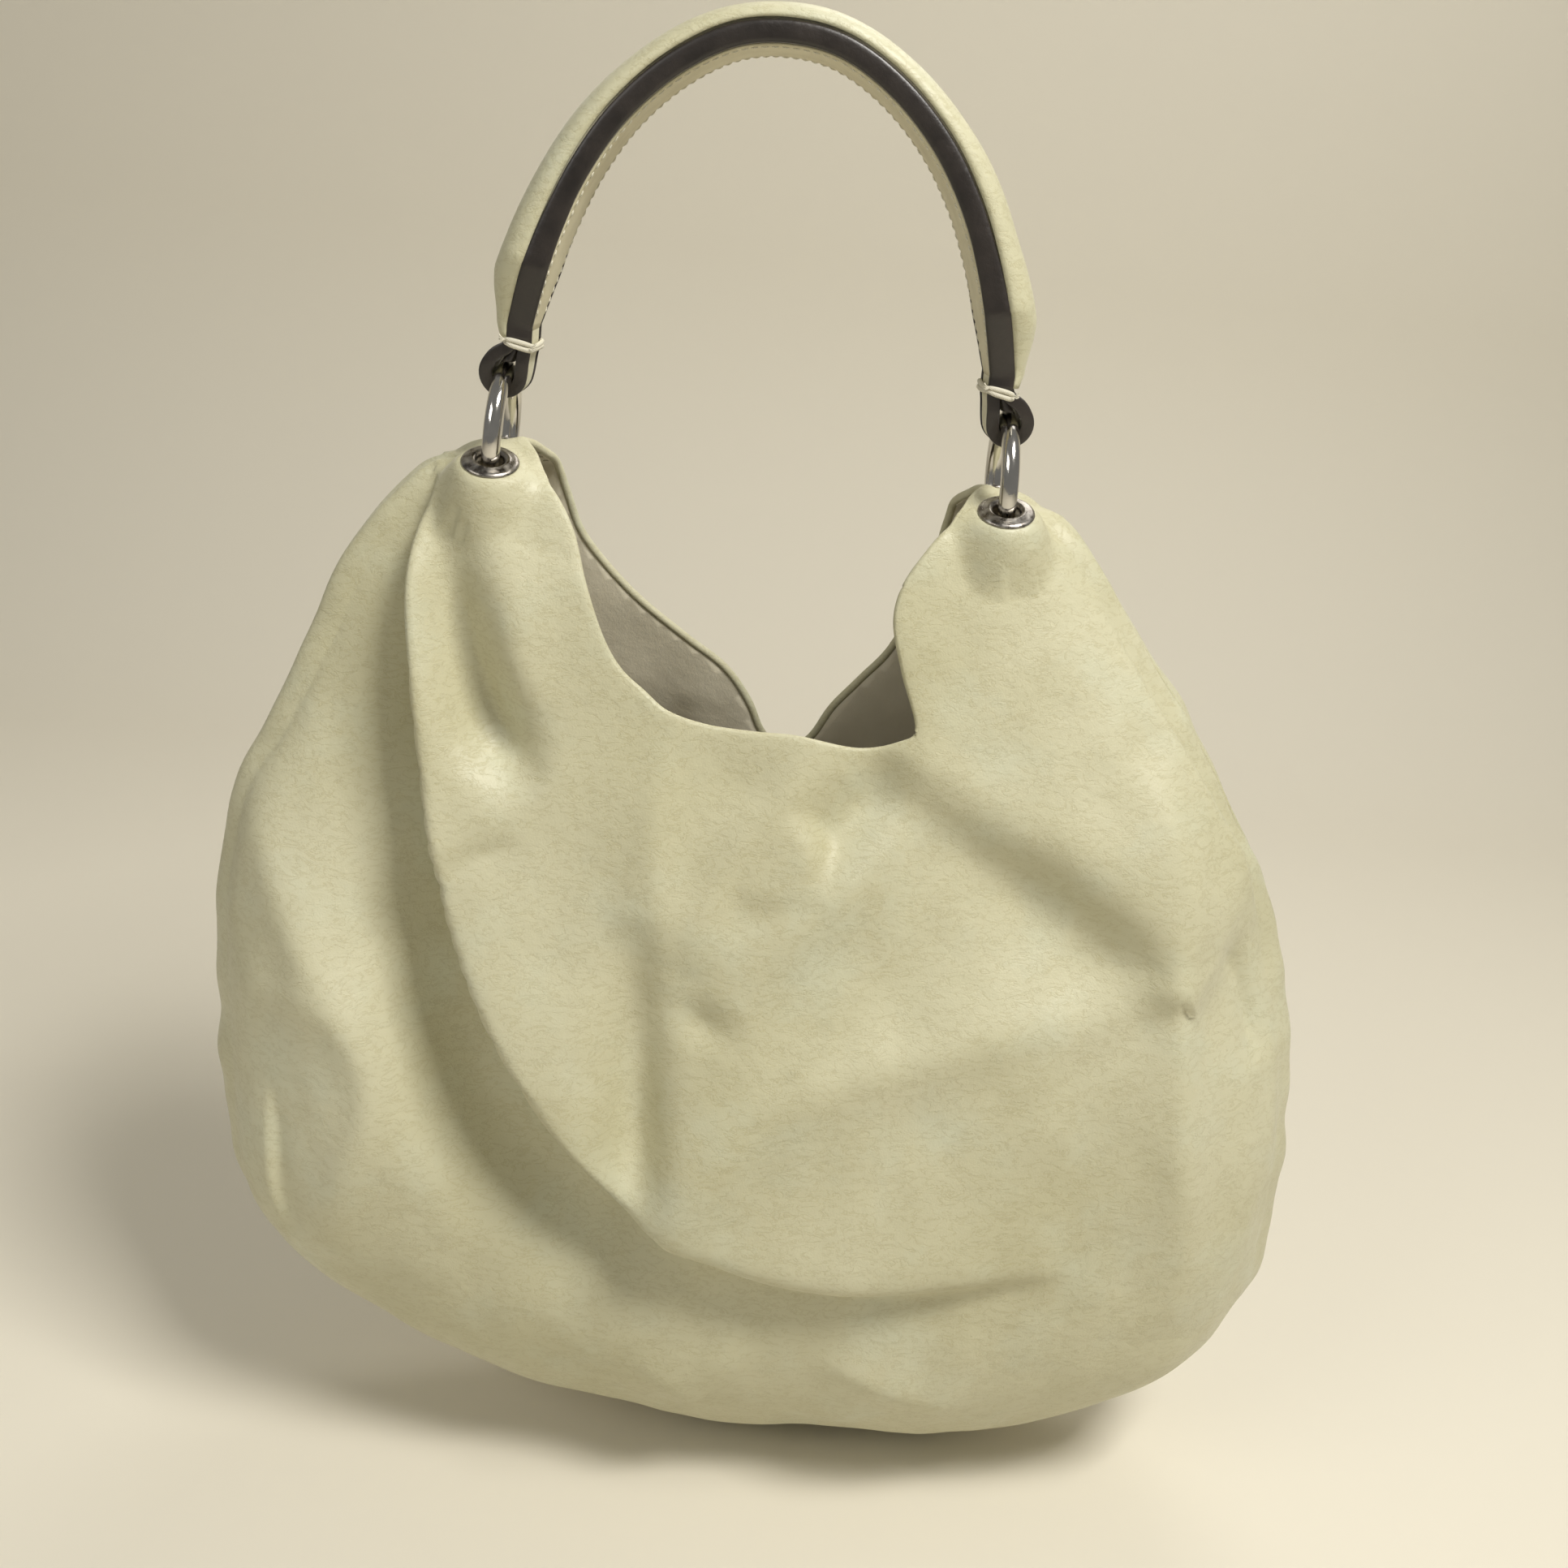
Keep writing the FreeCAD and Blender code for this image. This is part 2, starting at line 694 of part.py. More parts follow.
finished = {}
for item in doc.Objects:
    if item.Label in NODES:
        if item.Shape.isNull() or not item.Shape.isValid() or not item.Shape.Solids:
            raise RuntimeError(item.Label + " is not a valid solid")
        finished[item.Label] = item.Shape
missing = sorted(set(NODES) - set(finished))
if missing:
    raise RuntimeError("missing nodes: " + ", ".join(missing))
for label, shape in finished.items():
    shape.exportStep("parts/" + label + ".step")
    print(label, len(shape.Solids), "solid", round(shape.Volume), "mm3")
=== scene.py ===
import json
import math

import bmesh
import bpy
import numpy as np
from mathutils import Matrix, Vector, geometry, noise


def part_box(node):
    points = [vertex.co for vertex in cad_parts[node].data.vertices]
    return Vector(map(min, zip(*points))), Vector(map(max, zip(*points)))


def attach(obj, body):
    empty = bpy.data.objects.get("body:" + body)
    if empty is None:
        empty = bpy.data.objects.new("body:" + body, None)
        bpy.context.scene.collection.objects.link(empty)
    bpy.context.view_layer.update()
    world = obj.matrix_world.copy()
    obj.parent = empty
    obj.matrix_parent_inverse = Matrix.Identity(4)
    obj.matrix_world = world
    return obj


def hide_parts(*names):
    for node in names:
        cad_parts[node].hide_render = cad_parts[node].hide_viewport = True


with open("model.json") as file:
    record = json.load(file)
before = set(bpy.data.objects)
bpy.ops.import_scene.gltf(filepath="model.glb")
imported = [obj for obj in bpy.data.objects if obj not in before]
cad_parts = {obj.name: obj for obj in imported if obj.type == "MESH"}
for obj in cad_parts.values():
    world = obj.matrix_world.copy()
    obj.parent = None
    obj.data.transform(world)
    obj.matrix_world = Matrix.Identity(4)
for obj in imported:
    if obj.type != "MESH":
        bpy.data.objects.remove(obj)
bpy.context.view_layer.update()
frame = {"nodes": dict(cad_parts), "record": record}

# Shapes are worked out in millimetres in the CAD frame: +Z up, front at -Y, origin
# under the middle of the strap. Meshes are made in metres.
MM = 0.001
SIDES = (("left", -1), ("right", 1))
FACES = (("front", -1), ("back", 1))


def node_span(node):
    """A CAD node's lowest and highest corner in millimetres."""
    low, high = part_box(node)
    return np.array(low) / MM, np.array(high) / MM


# ---------------- measures
panel_low, panel_high = node_span("front_panel")
ring_low, ring_high = node_span("ring_right")
edge_low, _ = node_span("strap_edge_front")
RING_X = (ring_low[0] + ring_high[0]) / 2
RING_Z = (ring_low[2] + ring_high[2]) / 2
WIRE_RADIUS = 3.5
RING_RADIUS = (ring_high[1] - ring_low[1]) / 2 - WIRE_RADIUS
RING_LEAN = math.radians(3.0)
LOOP_X = RING_X - RING_RADIUS * math.sin(RING_LEAN)
LOOP_Z = RING_Z + RING_RADIUS * math.cos(RING_LEAN)
EYELET_ANGLE = math.radians(23.0)
EYELET_HANG = 0.4
BODY_HEIGHT = RING_Z - panel_low[2]
LEFT_REACH = -panel_low[0]
RIGHT_REACH = panel_high[0]
HALF_DEPTH = -panel_low[1]
FULLNESS = 3.0
LEATHER = 2.2
CLOTH = 0.7
PATCH_RADIUS = 14.6
FACING_DROP = 164.0

# the strap: shares of the half span, and drops below its middle
STRAP_CURVE = (
    (0.00, 0.0), (0.22, 3.2), (0.44, 14.5), (0.63, 31.0), (0.77, 50.0), (0.87, 70.0),
    (0.945, 90.0), (1.00, 108.0),
)
STRAP_HALF_SPAN = 91.0
STRAP_HALF_WIDTH = -edge_low[1]
STRAP_HALF_EDGE = 4.5
STRAP_FLOOR = edge_low[2]
NECK_HALF_WIDTH = 13.0
NECK_DROP = 108.0
SHOULDER_DROP = NECK_DROP - 22.0

# (drop below the rings, half depth, reach beyond the rings)
HORN_LEVELS = (
    (0.0, 0.6, 10.0),
    (3.5, 13.0, 18.0),
    (9.0, 25.0, 26.0),
    (20.0, 34.0, 37.0),
)
# shares of the body's height, left reach, right reach and half depth
BODY_LEVELS = (
    (0.107, 0.740, 0.590, 0.50),
    (0.170, 0.800, 0.680, 0.54),
    (0.242, 0.865, 0.770, 0.60),
    (0.330, 0.950, 0.865, 0.70),
    (0.427, 0.985, 0.935, 0.80),
    (0.543, 0.990, 0.980, 0.92),
    (0.660, 0.975, 1.000, 1.00),
    (0.757, 0.925, 0.995, 0.99),
    (0.838, 0.760, 0.930, 0.92),
    (0.905, 0.520, 0.820, 0.77),
    (0.960, 0.230, 0.680, 0.52),
    (0.995, -0.010, 0.530, 0.20),
    (1.003, -0.050, 0.480, 0.00),
)
# the mouth's edges, from the left horn to the right one: (x, drop below the rings)
FRONT_MOUTH = (
    (-90, 0), (-82, 5), (-74, 16), (-66, 30), (-60, 48), (-52, 68), (-44, 80), (-34, 88),
    (-24, 95), (-8, 99), (11, 100), (28, 100), (52, 103), (67, 99), (74, 92), (66, 70),
    (61, 52), (63, 38), (71, 24), (80, 11), (86, 4), (93, 0),
)
BACK_MOUTH = (
    (-90, 0), (-82, 8), (-76, 26), (-68, 46), (-48, 68), (-24, 86), (-5, 99), (7, 114),
    (15, 130), (26, 139), (37, 130), (45, 114), (56, 99), (68, 82), (79, 52), (83, 24),
    (86, 8), (93, 0),
)


# ---------------- curves
def smooth_line(points, per_span=12):
    """A Catmull-Rom line through the points, as an array."""
    pts = np.asarray(points, float)
    ends = np.vstack([2 * pts[0] - pts[1], pts, 2 * pts[-1] - pts[-2]])
    steps = np.linspace(0, 1, per_span, endpoint=False)[:, None]
    spans = []
    for p0, p1, p2, p3 in zip(ends, ends[1:], ends[2:], ends[3:]):
        curve = 2 * p1 + (p2 - p0) * steps
        curve += (2 * p0 - 5 * p1 + 4 * p2 - p3) * steps**2
        curve += (3 * p1 - p0 - 3 * p2 + p3) * steps**3
        spans.append(curve / 2)
    return np.vstack(spans + [pts[-1:]])


def resample(line, spacing):
    """The same line with its points evenly spaced."""
    lengths = np.hypot(*np.diff(line[:, :2], axis=0).T)
    reach = np.concatenate([[0], np.cumsum(lengths)])
    count = max(2, int(round(reach[-1] / spacing)) + 1)
    at = np.linspace(0, reach[-1], count)
    return np.stack([np.interp(at, reach, column) for column in line.T], 1)


def unit(vectors):
    """The vectors at a length of one."""
    return vectors / np.maximum(np.linalg.norm(vectors, axis=-1, keepdims=True), 1e-9)


def left_normals(line):
    """The unit vectors on the left of a line in the XZ plane."""
    along = unit(np.gradient(line, axis=0))
    return np.stack([-along[:, 1], along[:, 0]], 1)


def smoothstep(low, high, value):
    """0 below low, 1 above high and smooth between."""
    share = np.clip((value - low) / (high - low), 0, 1)
    return share * share * (3 - 2 * share)


# ---------------- body surface
def level_table():
    """The body's levels (z, left, right, half depth) and the way down the profile to each."""
    rows = [(RING_Z - d, -(RING_X + e), RING_X + e, h) for d, h, e in HORN_LEVELS]
    size = np.array((-BODY_HEIGHT, -LEFT_REACH, RIGHT_REACH, HALF_DEPTH))
    rows += [tuple(np.array(level) * size + (RING_Z, 0, 0, 0)) for level in BODY_LEVELS]
    table = smooth_line(rows, 24)
    step = np.hypot(np.diff(table[:, 0]), np.diff(table[:, 3]))
    reach = np.concatenate([[0], np.cumsum(step)])
    return table, reach


LEVELS, LEVEL_REACH = level_table()
# What s runs over: a quarter turn of this radius is the way from the middle to a seam.
GIRTH = 150.0
SEAM = GIRTH * math.pi / 2
# The horns' tops slope down beyond this far from the middle.
HORN_PEAK = 90.0
HORN_SLOPE = 0.42
HORN_ROUNDING = 8.0
HORN_FADE = 22.0


def level_at(t):
    """The height, left edge, right edge and half depth of the plain body at t."""
    return [np.interp(t, LEVEL_REACH, column) for column in LEVELS.T]


def shell(side_sign, s, t):
    """The plain body at s across (sine-spaced) and t down the profile, in mm."""
    z, left, right, depth = level_at(t)
    share = np.sin(np.clip(s / GIRTH, -math.pi / 2, math.pi / 2))
    x = (left + right) / 2 + (right - left) / 2 * share
    bulge = np.maximum(1 - np.abs(share) ** FULLNESS, 0) ** (1 / FULLNESS)
    beyond = np.abs(x) - HORN_PEAK
    beyond = (beyond + np.hypot(beyond, HORN_ROUNDING)) / 2
    slope = HORN_SLOPE * beyond * np.exp(-((t / HORN_FADE) ** 2))
    return np.stack([x, side_sign * depth * bulge, z - slope], 1)


def to_domain(x, z):
    """The (s, t) of a point seen at x and z from the front."""
    t = np.interp(-z, -LEVELS[:, 0], LEVEL_REACH)
    _, left, right, _ = level_at(t)
    share = (x - (left + right) / 2) / ((right - left) / 2)
    return np.stack([np.arcsin(np.clip(share, -1, 1)) * GIRTH, t], 1)


def shell_normals(side_sign, s, t):
    """The plain body's outward normals."""
    step = 1.0
    s0, s1 = np.maximum(s - step, -SEAM), np.minimum(s + step, SEAM)
    t0, t1 = np.maximum(t - step, 0), np.minimum(t + step, LEVEL_REACH[-1])
    across = shell(side_sign, s1, t) - shell(side_sign, s0, t)
    down = shell(side_sign, s, t1) - shell(side_sign, s, t0)
    normal = np.cross(down, across) * -side_sign
    length = np.linalg.norm(normal, axis=1, keepdims=True)
    return normal / np.maximum(length, 1e-6)


# ---------------- folds
# How far a fold may stand out of the plain body.
PROUD = 15.0
# How far it may sink, as a share of the way to the bag's middle plane.
SUNK = 0.85
# How far the front lies in where it has no fold.
FRONT_SINK = 7.0
# How far a fold runs on past its path's ends.
PATH_FADE = 12.0
# Drapes: (spread of the proud side, spread of the sunk side, the sunk side's share of
# the height, softness of the edge, path). Paths are (x, z, height), top to bottom.
FRONT_DRAPES = {
    "main": (42, 36, 1.9, 2.0, (
        (-124, -158, 3), (-129, -176, 7), (-130, -200, 11), (-126, -232, 14), (-120, -268, 15),
        (-112, -305, 16), (-101, -338, 18), (-86, -369, 19), (-63, -402, 18), (-40, -428, 16),
        (-16, -450, 12), (0, -460, 4), (12, -466, 0))),
    "under_edge": (46, 32, 0.9, 6.0, (
        (-26, -443, 3), (-10, -455, 10), (13, -465, 14), (38, -472, 14), (68, -475, 12),
        (98, -473, 9), (135, -467, 5), (170, -462, 0))),
    "right_horn": (46, 52, 0.95, 13.0, (
        (52, -238, 0), (80, -261, 8), (113, -280, 13), (146, -297, 15), (175, -318, 13),
        (189, -333, 8))),
}
# Ridges: (width, 0 for a round top or how blunt a sharp one is, path).
FRONT_RIDGES = {
    "diagonal": (24, 7.0, (
        (-16, -449, 6), (4, -422, 11), (26, -397, 12), (55, -380, 11), (94, -365, 10),
        (142, -350, 10), (186, -337, 9))),
    "valley": (13, 0, (
        (-17, -449, -7), (-22, -418, -15), (-26, -380, -14), (-28, -345, -7), (-28, -318, 0))),
    "right_side": (15, 6.0, (
        (189, -334, 5), (196, -368, 9), (201, -402, 11), (210, -440, 9), (215, -470, 5),
        (214, -500, 0))),
    "right_pinch": (12, 5.0, ((188, -330, 6), (189, -304, 7), (177, -268, 5), (160, -240, 0))),
    "mouth_dent": (13, 0, ((58, -246, -4), (60, -262, -9), (48, -280, -8), (36, -300, 0))),
    "pleat_right": (9, 5.0, (
        (33, -244, 2), (24, -266, 5), (6, -294, 6), (-4, -322, 5), (-8, -340, 0))),
    "pleat_left": (10, 5.0, (
        (-22, -240, 1), (-26, -280, 4), (-20, -318, 5), (-17, -342, 4), (-3, -360, 0))),
    "pleat_end": (9, 0, ((-14, -338, 0), (-6, -354, -4), (4, -360, -4), (16, -354, 0))),
    "pleat_fan": (15, 7.0, (
        (74, -252, 4), (62, -280, 8), (45, -308, 9), (20, -336, 7), (2, -362, 2))),
    "left_horn_dent": (12, 0, (
        (-119, -172, -6), (-113, -200, -12), (-104, -226, -17), (-94, -248, -19),
        (-82, -264, -9), (-70, -274, 0))),
    "left_horn_ridge": (13, 5.0, ((-98, -170, 1), (-88, -198, 4), (-80, -228, 4), (-68, -246, 0))),
    "left_crease": (6, 1.5, ((-106, -314, -3), (-94, -301, -4), (-74, -294, 0))),
    "pouch": (22, 6.0, (
        (-200, -276, 0), (-188, -306, 5), (-168, -340, 12), (-146, -372, 16), (-132, -398, 17),
        (-134, -424, 14), (-146, -454, 9), (-157, -484, 4), (-160, -500, 0))),
    "recess": (20, 0, (
        (-118, -300, 0), (-112, -350, -12), (-103, -388, -20), (-84, -422, -20),
        (-56, -450, -13), (-14, -474, -4), (30, -486, 0))),
    "pouch_top": (16, 6.0, ((-206, -376, 0), (-180, -372, 4), (-152, -374, 4), (-126, -386, 0))),
    "base_right": (12, 3.0, ((30, -496, 0), (20, -524, 5), (9, -548, 3))),
    "base_left": (12, 3.0, ((-16, -524, 0), (-4, -536, 4), (9, -548, 3))),
    "base_far_right": (12, 3.0, ((58, -514, 0), (90, -528, 5), (119, -540, 3))),
    "side_crease": (8, 2.0, ((206, -318, 0), (222, -326, -6), (236, -352, -6), (240, -372, 0))),
}
# Where the front stands over the back, near the seams.
SEAM_GAPS = {
    "right": (16, 14, 0.8, 2.0, (
        (232, -310, 0), (216, -282, 4), (197, -256, 5), (177, -228, 4), (158, -200, 2),
        (146, -182, 0))),
    "left": (12, 9, 0.8, 1.6, ((-170, -482, 0), (-175, -462, 3), (-177, -438, 3), (-180, -412, 0))),
}
BACK_DRAPES = {
    "left": (40, 40, 1.0, 4.0, (
        (-122, -160, 2), (-124, -220, 8), (-114, -280, 10), (-96, -330, 9), (-84, -380, 6),
        (-80, -440, 0))),
    "right": (40, 42, 1.0, 4.0, (
        (128, -170, -2), (136, -230, -7), (132, -290, -9), (120, -350, -8), (112, -420, -5),
        (100, -480, 0))),
}
BACK_RIDGES = {
    "mouth_dent": (11, 0, ((26, -276, 2), (18, -310, -5), (6, -350, -5), (-4, -384, 0))),
    "middle": (13, 4.0, ((-20, -258, 0), (-30, -300, 6), (-34, -350, 6), (-24, -400, 0))),
    "right": (15, 5.0, ((180, -330, 0), (196, -372, 7), (196, -420, 8), (180, -470, 0))),
    "left": (15, 5.0, ((-176, -330, 0), (-168, -380, 8), (-150, -430, 8), (-116, -486, 0))),
    "base": (18, 6.0, (
        (-100, -470, 0), (-40, -500, 6), (40, -512, 7), (120, -500, 6), (180, -470, 0))),
}
# Unevenness over the body: (height, size, seed, stretch).
SOFTNESS = ((2.2, 52, 3.0, (1, 1, 0.7)), (1.0, 19, 11.0, (1, 1, 0.6)))
# Gathers along the seams, how unevenly they come, and how far the seam itself tucks in.
GATHER_HEIGHT = 4.2
GATHERS = (26, 21.0, (0.3, 0.3, 1.3))
GATHER_SPREAD = (90, 31.0, (0.4, 0.4, 1.0))
SEAM_TUCK = 2.2
# How far from the mouth the leather moves freely, and the share of a fold left at its edge.
MOUTH_HOLD = 24.0
MOUTH_SHARE = {-1: 0.75, 1: 0.3}
# The leather is calm within the first distance of the snap or pocket, free at the second.
SNAP_CALM = (12, 26)
POCKET_CALM = (2, 24)
# Under an eyelet: flat to the first radius and free at the second, with a puckered ring
# of this depth, radius and width.
SEAT = (11, 22)
SEAT_LIFT = 0.15
PUCKER = (0.5, 14, 3)


def path_distance(path, x, z):
    """Signed distance to a path (left of it is positive), its height, and a fade past its ends."""
    line = smooth_line(path, 5)
    best = np.full(len(x), 1e9)
    signed, height, past = np.zeros((3, len(x)))
    last = len(line) - 2
    for index, ((ax, az, ah), (bx, bz, bh)) in enumerate(zip(line[:-1], line[1:])):
        dx, dz = bx - ax, bz - az
        length = math.hypot(dx, dz) + 1e-9
        free = ((x - ax) * dx + (z - az) * dz) / length**2
        share = np.clip(free, 0, 1)
        ox, oz = x - (ax + share * dx), z - (az + share * dz)
        distance = np.hypot(ox, oz)
        nearer = distance < best
        best = np.where(nearer, distance, best)
        signed = np.where(nearer, np.sign(dx * oz - dz * ox) * distance, signed)
        height = np.where(nearer, ah + share * (bh - ah), height)
        before = np.maximum(-free, 0) if index == 0 else 0
        after = np.maximum(free - 1, 0) if index == last else 0
        past = np.where(nearer, np.maximum(before, after) * length, past)
    return signed, height, np.exp(-((past / PATH_FADE) ** 2))


def ridge(x, z, width, blunt, path):
    """A fold that stands out (or in, where its heights are negative)."""
    signed, height, fade = path_distance(path, x, z)
    if blunt:
        rounded = np.sqrt(signed**2 + blunt**2) - blunt
        return fade * height * np.exp(-rounded / width)
    return fade * height * np.exp(-((signed / width) ** 2))


def drape(x, z, wide_high, wide_low, low_share, crisp, path):
    """A fold whose edge follows the path: proud on the left, sunk on the right."""
    signed, height, fade = path_distance(path, x, z)
    high = height * np.exp(-np.maximum(signed, 0) / wide_high)
    low = -height * low_share * np.exp(-np.maximum(-signed, 0) / wide_low)
    mix = 0.5 + 0.5 * np.tanh(signed / crisp)
    return fade * (low + (high - low) * mix)


def folds_of(x, z, drapes, ridges=None):
    """The height of a set of folds over (x, z)."""
    out = np.zeros(len(x))
    for measures in drapes.values():
        out += drape(x, z, *measures)
    for measures in (ridges or {}).values():
        out += ridge(x, z, *measures)
    return out


def wrinkles(points, size, seed, stretch):
    """Gradient noise over the points, stretched along one axis."""
    scaled = points / size * np.asarray(stretch)
    return np.array([noise.noise(Vector(p) + Vector((seed, 0, 0))) for p in scaled])


def side_room(s, t):
    """0 on the seams, 1 away from them."""
    edge = SEAM - np.abs(s)
    bottom = LEVEL_REACH[-1] - t
    return smoothstep(0, 34, edge) * smoothstep(0, 40, bottom)


def calm_zone(x, z, face_sign):
    """1 where the snap and the pocket hold the lining flat."""
    radius = np.hypot(x - SNAP_X, z - SNAP_Z)
    calm = 1 - smoothstep(*SNAP_CALM, radius)
    if face_sign > 0:
        beside = np.maximum(POCKET_LOW[0] - x, x - POCKET_HIGH[0])
        above = np.maximum(POCKET_LOW[2] - z, z - POCKET_HIGH[2])
        away = np.hypot(np.maximum(beside, 0), np.maximum(above, 0))
        calm = np.maximum(calm, 1 - smoothstep(*POCKET_CALM, away))
    return calm


def eyelet_frame(side_sign, face_sign):
    """An eyelet's middle and its outward axis, where the ring's wire passes the leather."""
    radius = RING_RADIUS + EYELET_HANG
    along, down = math.cos(EYELET_ANGLE), math.sin(EYELET_ANGLE)
    lean_x, lean_z = -side_sign * math.sin(RING_LEAN), math.cos(RING_LEAN)
    centre = np.array([
        side_sign * RING_X - radius * down * lean_x,
        face_sign * radius * along,
        RING_Z - radius * down * lean_z,
    ])
    outward = np.array([along * lean_x, face_sign * down, along * lean_z])
    return centre, outward


def eyelet_offsets(points, side_sign, face_sign):
    """How far points lie above an eyelet's seat, and how far from its axis."""
    centre, outward = eyelet_frame(side_sign, face_sign)
    offset = points - centre
    height = offset @ outward
    radial = np.linalg.norm(offset - height[:, None] * outward, axis=1)
    return height, radial, outward


def seat_eyelets(points, face_sign):
    """The leather lies flat under each eyelet and dimples round it."""
    depth, middle, width = PUCKER
    for _, side_sign in SIDES:
        height, radial, outward = eyelet_offsets(points, side_sign, face_sign)
        near = (np.abs(height) < 25) & (np.sign(points[:, 1]) == face_sign)
        pull = (1 - smoothstep(*SEAT, radial)) * near
        pucker = depth * np.exp(-(((radial - middle) / width) ** 2)) * near
        points += outward * ((-SEAT_LIFT - height) * pull - pucker)[:, None]
    return points


def body_points(face_sign, s, t, mouth_distance):
    """The outside of the front or the back, and the face that the lining follows."""
    plain = shell(face_sign, s, t)
    normals = shell_normals(face_sign, s, t)
    x, z = plain[:, 0], plain[:, 2]
    if face_sign < 0:
        folds = folds_of(x, z, FRONT_DRAPES, FRONT_RIDGES) - FRONT_SINK
    else:
        folds = folds_of(x, z, BACK_DRAPES, BACK_RIDGES)
    top = smoothstep(2, 30, t)
    soft = sum(height * wrinkles(plain, *grain) for height, *grain in SOFTNESS)
    free = smoothstep(0, MOUTH_HOLD, mouth_distance)
    soft *= free
    folds *= MOUTH_SHARE[face_sign] * (1 - free) + free
    lift = (folds + soft) * side_room(s, t) * top
    room = SUNK * np.abs(plain[:, 1]) + 0.5
    lift = np.where(lift > 0, PROUD * np.tanh(lift / PROUD), room * np.tanh(lift / room))
    edge = SEAM - np.abs(s)
    uneven = 0.35 + 0.9 * np.abs(wrinkles(plain, *GATHER_SPREAD))
    rim = GATHER_HEIGHT * wrinkles(plain, *GATHERS) * uneven
    rim *= np.exp(-(((edge - 18) / 17) ** 2)) * smoothstep(10, 60, t)
    rim -= SEAM_TUCK * np.exp(-((edge / 7) ** 2)) * smoothstep(4, 20, t)
    if face_sign < 0:
        rim += folds_of(x, z, SEAM_GAPS)
    calm = calm_zone(x, z, face_sign)
    outer = lift * (1 - calm) + calm * np.maximum(lift, 0) + rim
    inner = lift * (1 - calm) + rim
    return [seat_eyelets(plain + normals * way[:, None], face_sign) for way in (outer, inner)]


# ---------------- meshes
def make_mesh(name, verts_mm, faces, smooth=True):
    mesh = bpy.data.meshes.new(name)
    mesh.from_pydata([tuple(v) for v in np.asarray(verts_mm) * MM], [], faces)
    mesh.update()
    if smooth:
        mesh.polygons.foreach_set("use_smooth", [True] * len(mesh.polygons))
    piece = bpy.data.objects.new(name, mesh)
    bpy.context.scene.collection.objects.link(piece)
    return piece


def closed_piece(name, skin, body, slot, *nodes, smooth=True):
    """A finished piece from a closed (verts, faces), its normals turned outwards."""
    piece = make_mesh(name, *skin, smooth=smooth)
    surface = bmesh.new()
    surface.from_mesh(piece.data)
    bmesh.ops.recalc_face_normals(surface, faces=surface.faces)
    surface.to_mesh(piece.data)
    surface.free()
    return finish_piece(piece, body, slot, *nodes)


def finish_piece(piece, body, slot, *nodes):
    """Hang a piece on its body, with its material, in place of its CAD nodes."""
    if nodes:
        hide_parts(*nodes)
    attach(piece, body)
    piece.data.materials.append(MATERIALS[slot])
    return piece


def join_parts(parts):
    """Several (verts, faces) as one."""
    verts, faces = [], []
    count = 0
    for part_verts, part_faces in parts:
        verts.append(np.asarray(part_verts))
        faces += [tuple(v + count for v in face) for face in part_faces]
        count += len(part_verts)
    return np.vstack(verts), faces


def rounded_section(half_wide, half_tall, exponent, count=20):
    """A closed rounded outline as (across, out) pairs."""
    angles = np.linspace(0, 2 * math.pi, count, endpoint=False)
    cos, sin = np.cos(angles), np.sin(angles)
    across = half_wide * np.sign(cos) * np.abs(cos) ** (2 / exponent)
    out = half_tall * np.sign(sin) * np.abs(sin) ** (2 / exponent)
    return np.stack([across, out], 1)


def skin_faces(rows, around, closed=False):
    """Quads over rows of points that go round, capped at the ends unless closed."""
    faces = []
    for row in range(rows if closed else rows - 1):
        low, high = row * around, (row + 1) % rows * around
        for column in range(around):
            following = (column + 1) % around
            faces.append((low + column, low + following, high + following, high + column))
    if not closed:
        faces += [tuple(range(around)), tuple(range((rows - 1) * around, rows * around))]
    return faces


def sweep(line, outward, sections):
    """A skin over (across, out) sections set along a line in the XZ plane."""
    count, around = sections.shape[:2]
    across, out = sections[:, :, 0], sections[:, :, 1]
    x = line[:, None, 0] + out * outward[:, None, 0]
    z = line[:, None, 1] + out * outward[:, None, 1]
    return np.stack([x, across, z], 2).reshape(-1, 3), skin_faces(count, around)


def band(line, outline, middle, half_wide, out, half_tall):
    """Sections along a line: a unit outline at each point, placed and scaled."""
    middle, half_wide, out, half_tall = (
        np.broadcast_to(value, len(line))[:, None] for value in (middle, half_wide, out, half_tall)
    )
    return np.stack([middle + half_wide * outline[:, 0], out + half_tall * outline[:, 1]], 2)


def spokes(side, up, count):
    """Unit vectors that go round in the plane of side and up."""
    angles = np.linspace(0, 2 * math.pi, count, endpoint=False)[:, None]
    return np.cos(angles) * side[..., None, :] + np.sin(angles) * up[..., None, :]


def tube(path, radius, sides=8, closed=False):
    """A round cord along a path of points."""
    path = np.asarray(path, float)
    if closed:
        along = unit(np.roll(path, -1, axis=0) - np.roll(path, 1, axis=0))
    else:
        along = unit(np.gradient(path, axis=0))
    askew = np.array([0.31, 0.22, 0.93])
    side = unit(np.cross(along, askew))
    verts = path[:, None] + radius * spokes(side, np.cross(along, side), sides)
    return verts.reshape(-1, 3), skin_faces(len(path), sides, closed)


def lathe(profile, centre, axis, sides=72):
    """A closed profile of (radius, height) turned round an axis."""
    profile = np.asarray(profile, float)
    axis = unit(np.asarray(axis))
    side = unit(np.cross(axis, (0.0, 1.0, 0.0)))
    turned = spokes(side, np.cross(axis, side), sides)[:, None] * profile[:, :1]
    verts = centre + turned + axis * profile[:, 1:]
    return verts.reshape(-1, 3), skin_faces(sides, len(profile), True)


